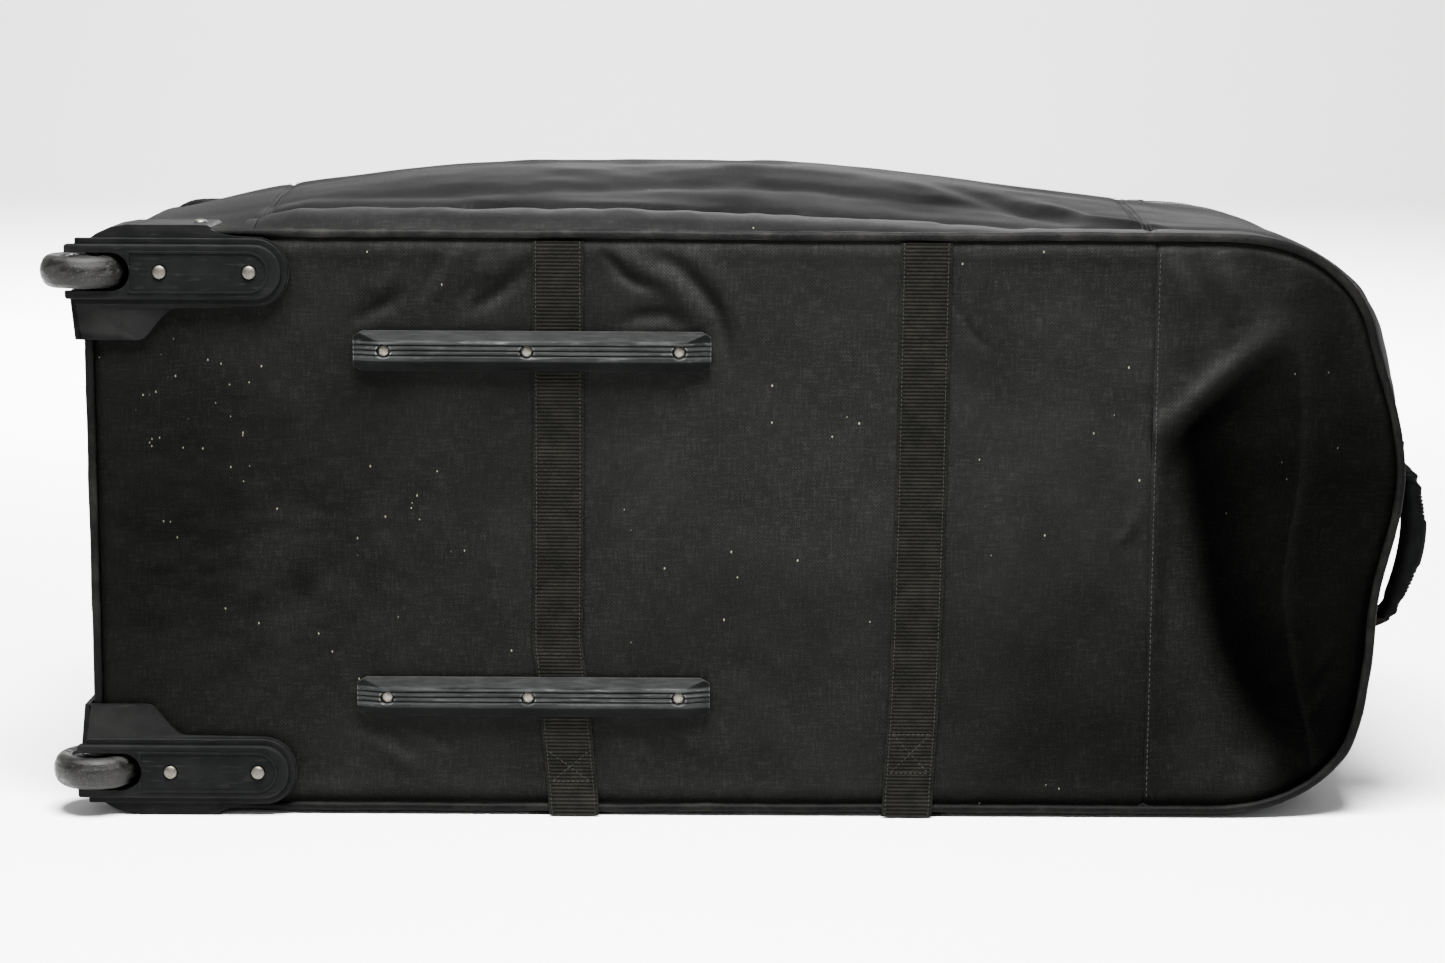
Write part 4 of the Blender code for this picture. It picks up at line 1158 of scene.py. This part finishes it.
def make_strap(node, lean, top, bottom):
    line = strap_line(node, lean)
    x, w, d = (part[:, None] for part in line)
    run = np.arange(len(w)) * RIB_PITCH / 4
    across = np.concatenate([np.linspace(-1, -0.9, 3), np.linspace(-0.8, 0.8, 17), np.linspace(0.9, 1, 3)])
    off = np.abs(across)
    ribs = np.cos(2 * pi * run / RIB_PITCH)[:, None] * (1 - off**8)
    thick = 1 - 0.75 * off**14 + 0.24 * ribs - 0.25 * bump_at(off, STITCH_LINE, 0.035)
    wave = 0.35 * noise(run, 0 * run, 45, 71)[:, None]
    side_wave = 0.35 * noise(run, 0 * run + 1, 30, 72)[:, None]
    x, w = np.broadcast_arrays(x + side_wave + STRAP_HALF * across, w)
    outer = spread(x, w, d - thick + 0.25 * wave - strap_lift(x, w))
    inner = spread(x, w, d + 0.7)
    flat = spread(STRAP_HALF * across, run[:, None])
    # Painted light and shade on the ribs: lighter on their crests, darker between them and along the
    # sunken stitch lines, with random tone.
    tone = 0.8 + 0.75 * ribs - 0.35 * bump_at(off, STITCH_LINE, 0.05)
    tone = tone * (1 + 0.22 * noise(w, x * 0.4, 26, 73))
    obj = shell(f"{node}_webbing", outer, inner, STRAP, "bag", "webbing", flat, sharp=60, tone=tone)
    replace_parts(obj, node)
    rows = [on_strap(line[0] + side * STRAP_HALF * STITCH_LINE, *line[1:]) for side in (-1, 1)]
    left, right = -BOX_HALF, BOX_HALF
    rows.append(strap_segment(line, (left, top), (right, top)))
    rows.append(strap_segment(line, (left, bottom), (right, bottom)))
    rows.append(strap_segment(line, (left, top), (right, bottom)))
    rows.append(strap_segment(line, (right, top), (left, bottom)))
    stitches(f"{node}_stitches", rows, "bag", 2.4, 1.0, 0.34, PALE_THREAD)


def make_straps():
    make_strap("strap_rear", [13.0, 6.0, 0.0, 0.8, 0.8], -174, -197)
    make_strap("strap_front", [-8.5, -4.0, -2.0, 0.0, 1.5], -159, -189)


# Rails. The lines are places across a rail, from its middle.

RAIL_HALF = 15.0
RAIL_FOOT = 1.8
RAIL_GROOVES = (-3.0, 0.6, 4.4)
RAIL_RIDGES = (-4.6, -1.2, 2.5, 5.8)
RAIL_WEAR = (-4.6, -1.6, 2.2, 6.6, 7.6)
RIVET_WELL = 9.5
RIVET_SEAT = 3.1


def make_rail(side, sign):
    node = f"skid_rail_{side}"
    (first, last), w_range, (crest, back) = node_range(node)
    columns = np.arange(first, last + 0.01, 0.8)
    x, t = np.meshgrid(columns, np.linspace(-1, 1, 61), indexing="ij")
    to_end = np.minimum(x - first, last - x)
    across = RAIL_HALF * t * np.minimum(1, 0.72 + 0.28 * to_end / 7)
    rise = np.clip((RAIL_HALF - np.abs(across)) / 8.2, 0, 1)
    rise = np.minimum(rise, np.clip(to_end / 20.0, 0, 1))
    rise = rise - 0.06 * smooth(0.86, 1.0, rise)
    height = RAIL_FOOT + (back - crest - RAIL_FOOT) * rise
    for line in RAIL_GROOVES:
        height = height - 0.8 * bump_at(across, line, 0.6) * smooth(0.1, 0.2, rise)
    for line in RAIL_RIDGES:
        height = height + 0.22 * bump_at(across, line, 0.9) * smooth(0.8, 0.95, rise)
    for i in (1, 2, 3):
        rivet_x = middle(node_range(f"rail_rivet_{side}_{i}")[0])
        away = np.hypot(x - rivet_x, across)
        well = RIVET_SEAT + (height - RIVET_SEAT) * smooth(4.3, 5.3, away)
        height = np.where(away < RIVET_WELL, well, height)
    height = height - 0.12 * np.abs(noise(x * 0.25, across, 3.0, 81 + sign))
    w = middle(w_range) + across
    outer, inner = spread(x, w, back - height), spread(x, w, back)
    # Painted shade on the lower flank and in the grooves; lighter across the crest band, with rubbed lines
    # along the wear lines.
    tone = 1.1 + 2.6 * smooth(7.6, 6.6, np.abs(across)) - 0.35 * smooth(-6, -9, across)
    rubbed = 0.5 + 0.5 * noise(x * 0.2, across * 3, 6.0, 84 + sign)
    for line in RAIL_WEAR:
        tone = tone + 4.5 * bump_at(across, line, 0.6) * smooth(0.3, 0.8, rubbed)
    for line in RAIL_GROOVES:
        tone = tone * (1 - 0.85 * bump_at(across, line, 0.7))
    look = (RAIL_PLASTIC, "bag", "moulding", spread(x, across))
    obj = shell(f"rail_{side}", outer, inner, *look, sharp=28, tone=tone)
    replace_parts(obj, node)


# Rivets.

RIVET_HEAD = 5.0
RIVET_SHANK = 2.0
RIVET_WASHER = 4.0


def dome(node, material):
    """A rivet with a low domed head and a washer at its tail."""
    x_range, w_range, d_range = node_range(node)
    centre = (middle(x_range), middle(w_range), 0)
    seat, tail = d_range[0] + 2.4, d_range[1] - 1.0
    profile = [(RIVET_HEAD * sin(a), seat - 0.3 - 2.1 * cos(a)) for a in np.linspace(0, pi / 2, 12)]
    profile += [(4.9, seat), (RIVET_SHANK, seat), (RIVET_SHANK, tail)]
    profile += [(RIVET_WASHER, tail), (RIVET_WASHER, tail + 1), (0, tail + 1)]
    obj = lathe(f"{node}_head", profile, centre, "d", material, "bag", 40, 50)
    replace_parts(obj, node)


def make_rivets():
    for side, sign in SIDES:
        for i in (1, 2, 3):
            dome(f"rail_rivet_{side}_{i}", LIT_RIVET)
        for i in (1, 2):
            dome(f"housing_rivet_{side}_{i}", RIVET)
        make_side_rivet(side, sign)


def make_side_rivet(side, sign):
    """The rivet through a housing's rim. On the lower side, which rests on the floor, it is flush."""
    node = f"side_rivet_{side}"
    x_range, w_range, d_range = node_range(node)
    centre = (middle(x_range), 0, middle(d_range))
    near, far = sorted(abs(w) for w in w_range)
    head = [(0, far), (1.6, far), (1.9, far - 0.3)]
    if sign > 0:
        head = [(0, far), (2.4, far - 0.1), (4.2, far - 0.7), (RIVET_HEAD, far - 1.8)]
    profile = head + [(RIVET_SHANK, head[-1][1]), (RIVET_SHANK, near + 1)]
    profile += [(RIVET_WASHER, near + 1), (RIVET_WASHER, near), (0, near)]
    turned = [(r, sign * h) for r, h in profile]
    obj = lathe(f"{node}_head", turned, centre, "w", RIVET, "bag", 32)
    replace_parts(obj, node)


# Wheel housings, drawn for the upper side as (x, w) outlines.

WHEEL_X, WHEEL_W, WHEEL_D = -485.5, 189.0, 6.0
TONGUE_END = -358
FRONT_RIVETS = (-427.0, -361.0)
SIDE_BORE = (-402.0, 222.0, 26.0)
RIM_W = 223.5
RIM_INNER_W = RIM_W - 2.2
PLATE_BACK = ((-414, 163.0), (-421, 160.5), (-426, 156), (-441, 138), (-491.5, 138))
PLATE_CORNER = (
    (-497.5, 206.5),
    (-483, 210.5),
    (-474, 217.0),
    (-464, 221.5),
    (-452, RIM_W),
    (-400, RIM_W),
    (-392, 222.0),
    (-384, 217.5),
    (-372, 215.3),
)
RIM = (
    (-491.5, 138),
    (-494.5, 168),
    (-494.5, 207),
    (-483, 210.5),
    (-474, 217.0),
    (-464, 221.5),
    (-452, RIM_W),
    (-392, RIM_W),
    (-389, RIM_INNER_W),
    (-452, RIM_INNER_W),
    (-463, 219.2),
    (-472, 214.8),
    (-480, 209.0),
    (-480, 206),
    (-487.6, 206),
    (-487.6, 168),
    (-487.6, 138),
)
BUCKET = ((-492.5, 168.3), (-446, 168.3), (-446, 209.7), (-492.5, 209.7))
SLOT_HALF = 14.25
SLOT_END, SLOT_OPEN = -463.25, -540


def solid(name, rings, bevel=0.0, segments=2, closed=False):
    """A solid from rings of (x, w, d) points, capped at both ends or closed on itself."""
    count, last = len(rings[0]), len(rings) - 1
    faces = []
    if not closed:
        faces = [tuple(range(count)), tuple(range(last * count, (last + 1) * count))[::-1]]
    for i in range(last):
        faces += band_faces(i * count, (i + 1) * count, count)
    if closed:
        faces += band_faces(last * count, 0, count)
    obj = outwards(raw_object(name, place(np.concatenate(rings)), faces))
    if bevel:
        ease = obj.modifiers.new("ease", "BEVEL")
        ease.width = bevel * MM
        ease.segments = segments
        ease.limit_method = "ANGLE"
        ease.angle_limit = radians(35)
        bake(obj)
    return obj


def bake(obj):
    """The object's mesh with its modifiers applied."""
    graph = bpy.context.evaluated_depsgraph_get()
    mesh = bpy.data.meshes.new_from_object(obj.evaluated_get(graph))
    obj.modifiers.clear()
    obj.data = mesh
    return obj


def cut(target, others, operation):
    for other in others:
        step = target.modifiers.new("cut", "BOOLEAN")
        step.object = other
        step.operation = operation
        step.solver = "EXACT"
    bake(target)
    for other in others:
        bpy.data.objects.remove(other)


def layers(outline, sign, *levels):
    """An outline at each of some depths, turned over for the lower side."""
    x, w = np.asarray(outline, float).T
    return [spread(x, sign * w, level) for level in levels]


def pin(name, radius, centre, half, axis, count):
    """A round solid across the bag (w) or along its depth (d)."""
    rings = []
    for end in (-half, half):
        ring = []
        for a in circle(count):
            side, up = radius * cos(a), radius * sin(a)
            ring.append((side, end, up) if axis == "w" else (side, up, end))
        rings.append(np.asarray(centre, float) + ring)
    return solid(name, rings)


def plate_outline():
    front = arc_points((TONGUE_END, WHEEL_W), 26.0, 78, -90, 22)
    return round_outline(PLATE_BACK, 5) + rounded(PLATE_CORNER, 6, 3) + front


def tongue_outline(start_x, end_x, radius):
    end = arc_points((end_x, WHEEL_W), radius, 90, -90, 24)
    return [(start_x, WHEEL_W + radius), *end, (start_x, WHEEL_W - radius)]


def slot_outline():
    low, high = WHEEL_W - SLOT_HALF, WHEEL_W + SLOT_HALF
    end = arc_points((SLOT_END, WHEEL_W), SLOT_HALF, -90, 90, 20)
    return [(SLOT_OPEN, low), *end, (SLOT_END, high), (SLOT_OPEN, high)]


def ring_rings(outer, inner, sign, low, high):
    """The four rings of a rib between two outlines with the same number of points."""
    return layers(outer, sign, low, high) + layers(inner, sign, high, low)


def add_to_plate(plate, sign):
    bulge = layers(tongue_outline(-497.5, TONGUE_END, 20.5), sign, -11.5, -3.6)
    outer_step = layers(tongue_outline(-490, TONGUE_END, 25.0), sign, -7.6, -4.6)
    border = tongue_outline(-451, -362, 15.6), tongue_outline(-448.6, -362, 13.6)
    parts = [
        solid("bulge", bulge, 2.2, 3),
        solid("rim", layers(RIM, sign, -5.4, 50.0), 0.5, 1),
        solid("bucket", layers(round_outline(BUCKET, 3), sign, -5.2, 43.0)),
        solid("outer_step", outer_step, 1.4, 3),
        solid("raised_border", ring_rings(*border, sign, -12.3, -10.8), 0.4, closed=True),
    ]
    cut(plate, parts, "UNION")


def cut_from_plate(plate, sign):
    bore_x, bore_w, bore_d = SIDE_BORE
    holes = [
        solid("slot", layers(slot_outline(), sign, -40, 40.0)),
        pin("bore", 4.15, (WHEEL_X, sign * WHEEL_W, WHEEL_D), 30, "w", 28),
        pin("side_bore", 2.5, (bore_x, sign * bore_w, bore_d), 10, "w", 28),
    ]
    cut(plate, holes, "DIFFERENCE")
    for x in FRONT_RIVETS:
        centre = (x, sign * WHEEL_W)
        hole = pin("rivet_bore", 2.4, (*centre, 0), 30, "d", 20)
        edges = [arc_points(centre, radius, 0, 348, 29) for radius in (5.8, 4.8)]
        recess = solid("recess", ring_rings(*edges, 1, -13.0, -10.5), 0.02, closed=True)
        cut(plate, [hole, recess], "DIFFERENCE")


def make_housing(side, sign):
    plate = solid(f"housing_{side}", layers(plate_outline(), sign, -6.0, -3.0), 0.8)
    add_to_plate(plate, sign)
    cut_from_plate(plate, sign)
    plate.data.materials.clear()
    plate.data.materials.append(PLASTIC)
    for polygon in plate.data.polygons:
        polygon.material_index = 0
    plate.data.shade_smooth()
    plate.data.set_sharp_from_angle(angle=radians(28))
    even = plate.modifiers.new("even", "WEIGHTED_NORMAL")
    even.keep_sharp = True
    bake(plate)
    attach(plate, "bag")
    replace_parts(plate, f"wheel_housing_{side}")


# Wheels. A profile is a list of (radius, place along the axle).

TYRE_HALF = 12.0
TYRE_EDGE = 24.5
TYRE_CROWN = 8.0
HUB_HALF = (
    (11.3, -10.6),
    (12.4, -11.0),
    (14.0, -10.4),
    (15.5, -8.4),
    (18.2, -8.2),
    (18.9, -10.6),
    (20.0, -11.0),
)
HUB_STOP = ((11.3, 4.3), (7.3, 4.3), (7.3, -4.3), (11.3, -4.3))


def tyre_profile():
    profile = [(20.3, -11.0), (20.3, 11.0), (23.0, 11.9), (TYRE_EDGE, TYRE_HALF)]
    for i in range(21):
        a = radians(82 - 164 * i / 20)
        groove = 0.5 if i in (6, 14) else 0.0
        profile.append((TYRE_EDGE + (TYRE_CROWN - groove) * cos(a), TYRE_HALF * sin(a)))
    return profile + [(TYRE_EDGE, -TYRE_HALF), (23.0, -11.9)]


def bearing_profile(low, high):
    face = ((4.3, 0), (6.2, 0), (6.5, 0.7), (8.9, 0.7), (9.2, 0), (11.0, 0))
    return [(r, low + up) for r, up in face] + [(r, high - up) for r, up in face[::-1]]


def rod_profile(low, high):
    profile = [(0, low + 0.1), (2.9, low), (4.0, low + 1.1)]
    return profile + [(4.0, high - 1.1), (2.9, high), (0, high - 0.1)]


def make_wheel(side, sign):
    centre = (WHEEL_X, sign * WHEEL_W, WHEEL_D)

    def turn(name, profile, material, body, slot, steps, sharp, node):
        obj = lathe(name, profile, centre, "w", material, body, steps, sharp)
        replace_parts(obj, node)

    def along(node):
        return [w - centre[1] for w in node_range(node)[1]]

    body = f"wheel_{side}"
    node = f"tyre_{side}"
    turn(f"{node}_rubber", tyre_profile(), TREAD, body, "tread", 96, 50, node)
    node = f"hub_{side}"
    hub = [*HUB_HALF, *[(r, -w) for r, w in HUB_HALF[::-1]], *HUB_STOP]
    turn(f"{node}_turned", hub, HUB, body, "hub", 72, 30, node)
    for label in ("inner", "outer"):
        node = f"bearing_{side}_{label}"
        race = bearing_profile(*along(node))
        turn(f"{node}_race", race, STEEL, body, "steel", 48, 30, node)
    node = f"axle_{side}"
    turn(f"{node}_rod", rod_profile(*along(node)), STEEL, "bag", "steel", 40, 30, node)


# The grab handle on the nose.

GRAB_MIDDLE, GRAB_SPAN, GRAB_X, GRAB_DEEP = -16.0, 56.0, 508.0, 34.0
GRAB_BOW = 13.0
GRAB_THICK, GRAB_WIDE = 9.0, 13.0
GRAB_TEETH = 112 / 2.9
ANCHOR_HALF = 12.8
ANCHOR_LONG = 22.5
ANCHOR_ROWS = 40


def grab_ring(t, sides):
    """The outline of the grip at a place from 0, its lower end, to 1."""
    w = GRAB_MIDDLE + GRAB_SPAN * (2 * t - 1)
    lower, upper = dent(GRAB_MIDDLE - GRAB_SPAN), dent(GRAB_MIDDLE + GRAB_SPAN)
    bow = float(dent(w) - lower * (1 - t) - upper * t)
    thick = GRAB_THICK / 2
    if 0 < t < 1:
        bow += GRAB_BOW * sin(pi * t) ** 0.8
        thick = GRAB_THICK * (0.5 + 0.5 * sin(pi * t) ** 0.5)
    lip = 2.4 * bump_at(t, 0.03, 0.02) + 2.4 * bump_at(t, 0.97, 0.02)
    neck = -1.2 * bump_at(t, 0.1, 0.03) - 0.8 * bump_at(t, 0.93, 0.02)
    front = 1.3 * float(smooth(0.335, 0.36, t) * smooth(0.67, 0.645, t)) + 1.2 * bump_at(t, 0.885, 0.02)
    if 0.14 < t < 0.31 or 0.70 < t < 0.84:
        front -= 1.5 * float(smooth(-0.2, 0.2, sin(2 * pi * t * GRAB_TEETH)))
    ring = []
    for a in circle(sides):
        reach = (thick + lip * 0.7 + neck) * np.sign(cos(a)) * abs(cos(a)) ** 0.85
        reach += front * max(cos(a), 0.0) ** 0.5
        d = (GRAB_WIDE + lip * 0.8 + neck * 0.5) * np.sign(sin(a)) * abs(sin(a)) ** 0.85
        ring.append((GRAB_X + bow + reach, w, GRAB_DEEP + d))
    return ring


def make_grab_handle():
    rings = [grab_ring(t, 36) for t in np.linspace(0.0, 1.0, 261)]
    grip = tube("grab_grip", rings, GRIP, "grab_handle", sharp=45)
    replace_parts(grip, "grab_handle_grip")
    for label, end in (("lower", -1), ("upper", 1)):
        make_anchor(label, end)


def make_anchor(label, end):
    """Webbing folded over at one end of the grab handle, with its two layers sewn to the nose."""
    near = GRAB_MIDDLE + end * (GRAB_SPAN + 0.3)
    t = np.arange(ANCHOR_ROWS) / (ANCHOR_ROWS - 1)
    w = near + end * ANCHOR_LONG * t
    slope = w / NOSE_RADIUS
    run = np.sqrt(1 - slope * slope)
    station = np.stack([NOSE_CENTRE_X + NOSE_RADIUS * run, w, run, slope], 1)
    skin = station[:, 0] + run * (side_height(station, np.array([GRAB_DEEP]))[:, 0] + 1.0)
    lift = 1 - smooth(0, 0.42, t)
    top = skin + 2.4 + (GRAB_X + 3.4 - skin - 2.4) * lift + 0.14 * np.cos(2.4 * np.arange(ANCHOR_ROWS))
    half = np.linspace(-ANCHOR_HALF, ANCHOR_HALF, 15)
    rows = w[:, None]
    outer = spread(top[:, None] - 0.5 * np.abs(half / ANCHOR_HALF) ** 8, rows, GRAB_DEEP + half)
    inner = spread((skin + 0.2)[:, None], rows, GRAB_DEEP + half)
    flat = spread(half, np.abs(rows - near))
    look = (STRAP, "bag", "webbing", flat)
    obj = shell(f"grab_anchor_{label}", outer, inner, *look, sharp=50)
    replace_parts(obj, f"grab_handle_anchor_{label}")


# The carry handle under the lower side.

SLEEVE_SIDES = 20


def leg_ends(node, d_range):
    """The middle, along the bag, of a leg's two ends."""
    verts = np.array([v.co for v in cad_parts[node].data.vertices])
    x, d = verts[:, 0] / MM, verts[:, 1] / MM - UNDERSIDE_Y
    near, far = x[d < d_range[0] + 1], x[d > d_range[1] - 1]
    return (near.min() + near.max()) / 2, (far.min() + far.max()) / 2


def make_leg(side):
    node = f"carry_handle_leg_{side}"
    _, (low, high), d_range = node_range(node)
    start, end = leg_ends(node, d_range)
    rows = np.linspace(0, 1, 160)[:, None]
    centre = start + (end - start) * rows * rows * (3 - 2 * rows)
    d = d_range[0] + (d_range[1] - d_range[0]) * rows
    across = np.linspace(-1, 1, 13)
    rib = 0.12 * np.cos(2 * pi * d / RIB_PITCH) * (1 - np.abs(across) ** 6)
    x = centre + STRAP_HALF * across
    top, bottom = spread(x, high - 0.12 + rib, d), spread(x, low + 0.05, d)
    look = (STRAP, "carry_handle", "webbing", spread(STRAP_HALF * across, d))
    obj = shell(f"carry_leg_{side}", top, bottom, *look, sharp=60)
    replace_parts(obj, node)


def make_carry_handle():
    for side in ("rear", "front"):
        make_leg(side)
    x_range, w_range, d_range = node_range("carry_handle_grip")
    tall, wide = (w_range[1] - w_range[0]) / 2, (d_range[1] - d_range[0]) / 2
    x = np.linspace(*x_range, 120)[:, None]
    size = 1 - 0.1 * np.exp(-np.minimum(x - x_range[0], x_range[1] - x) / 3.0)
    seam = 0.12 * np.cos(2 * pi * x / 9.0)
    a = np.array(circle(SLEEVE_SIDES))
    w = middle(w_range) + tall * size * np.sign(np.sin(a)) * np.abs(np.sin(a)) ** 0.5
    d = middle(d_range) + (wide * size + seam) * np.sign(np.cos(a)) * np.abs(np.cos(a)) ** 0.5
    flat = spread(x, wide * a / 3, 0).reshape(-1, 3) * MM
    sleeve = tube("carry_sleeve", spread(x, w, d), SLEEVE, "carry_handle", cloth=flat)
    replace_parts(sleeve, "carry_handle_grip")


# Inside, and the binding over the hinge.

BINDING_HALF = 11


def make_inside():
    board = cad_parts["base_board"]
    board.data.materials.clear()
    board.data.materials.append(BOARD)
    ease = board.modifiers.new("ease", "BEVEL")
    ease.width = 1.0 * MM
    ease.segments = 2


def make_hinge_strip():
    """Binding over the fold where the lid turns on the heel panel."""
    w = np.linspace(-205, 205, 120)
    across = np.linspace(-BINDING_HALF, BINDING_HALF, 23)
    gw, ga = np.meshgrid(w, across, indexing="ij")
    top = DEPTH + 1.0 + 0.5 * np.cos(ga / BINDING_HALF * pi / 2) + 0.25 * noise(gw, ga, 22, 91)
    outer, inner = spread(HEEL_SEAM_X + ga, gw, top), spread(HEEL_SEAM_X + ga, gw, top - 1.1)
    obj = shell("hinge_binding", outer, inner, STRAP, "bag", "webbing", spread(ga, gw))
    matrix = obj.matrix_world.copy()
    obj.parent = None
    obj.matrix_world = matrix
    ends = [place(np.array([HEEL_SEAM_X + x, 0.0, DEPTH])).tolist() for x in (-9.0, 9.0)]
    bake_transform(obj)


# Floor, lights and camera.


def make_stage():
    """A floor that curves up into a wall behind the bag, in metres."""
    half, wall_y, curve, top = 14.0, 10.0, 3.0, 9.0
    profile = [(-half, 0.0), (wall_y - curve, 0.0)]
    for i in range(1, 17):
        a = pi / 2 * i / 16
        profile.append((wall_y - curve + curve * sin(a), curve * (1 - cos(a))))
    profile.append((wall_y, top))
    verts = [(x, y, z) for x in (-half, half) for y, z in profile]
    count = len(profile)
    faces = [(i, i + 1, i + 1 + count, i + count) for i in range(count - 1)]
    sweep = raw_object("sweep", verts, faces)
    sweep.data.shade_smooth()
    sweep.data.materials.append(Nodes("sweep_paper", 0.9, (0.86, 0.86, 0.86), 0.2).material)


def area_light(name, at, aim, size, power, colour=(1, 1, 1)):
    data = bpy.data.lights.new(name, "AREA")
    data.shape = "RECTANGLE"
    data.size, data.size_y = size
    data.energy = power
    data.color = colour
    light = bpy.data.objects.new(name, data)
    light.location = at
    light.rotation_euler = (Vector(aim) - Vector(at)).to_track_quat("-Z", "Y").to_euler()
    bpy.context.scene.collection.objects.link(light)


def make_lights():
    world = bpy.data.worlds.new("studio")
    world.use_nodes = True
    back = world.node_tree.nodes["Background"]
    back.inputs["Color"].default_value = (1, 1, 1, 1)
    back.inputs["Strength"].default_value = 0.4
    bpy.context.scene.world = world
    area_light("overhead", (-0.1, -1.0, 2.5), (0.0, -0.2, 0.1), (1.5, 0.9), 760)
    area_light("backdrop", (-0.5, 2.2, 3.0), (-0.3, 6.0, 0.0), (2.0, 1.0), 1750)
    area_light("back_fill", (0.3, 3.0, 1.5), (0, 0.2, 0.25), (1.6, 1.0), 60)
    area_light("front_fill", (-0.9, -3.4, 1.2), (0, 0, 0.2), (1.6, 1.2), 8)


def make_camera():
    data = bpy.data.cameras.new("camera")
    data.lens = 77.6
    data.sensor_width = 36.0
    camera = bpy.data.objects.new("camera", data)
    at, aim = Vector((-0.0115, -2.457, 0.616)), Vector((-0.0115, -0.157, 0.257))
    turn = (aim - at).to_track_quat("-Z", "Y").to_matrix() @ Matrix.Rotation(radians(0.3), 3, "Z")
    camera.location = at
    camera.rotation_euler = turn.to_euler()
    bpy.context.scene.collection.objects.link(camera)
    bpy.context.scene.camera = camera


make_underside()
make_sides()
make_lid()
make_zip()
make_piping()
make_straps()
for label, way in SIDES:
    make_rail(label, way)
    make_housing(label, way)
    make_wheel(label, way)
make_rivets()
make_grab_handle()
make_carry_handle()
make_inside()
make_hinge_strip()
make_stage()
make_lights()
make_camera()
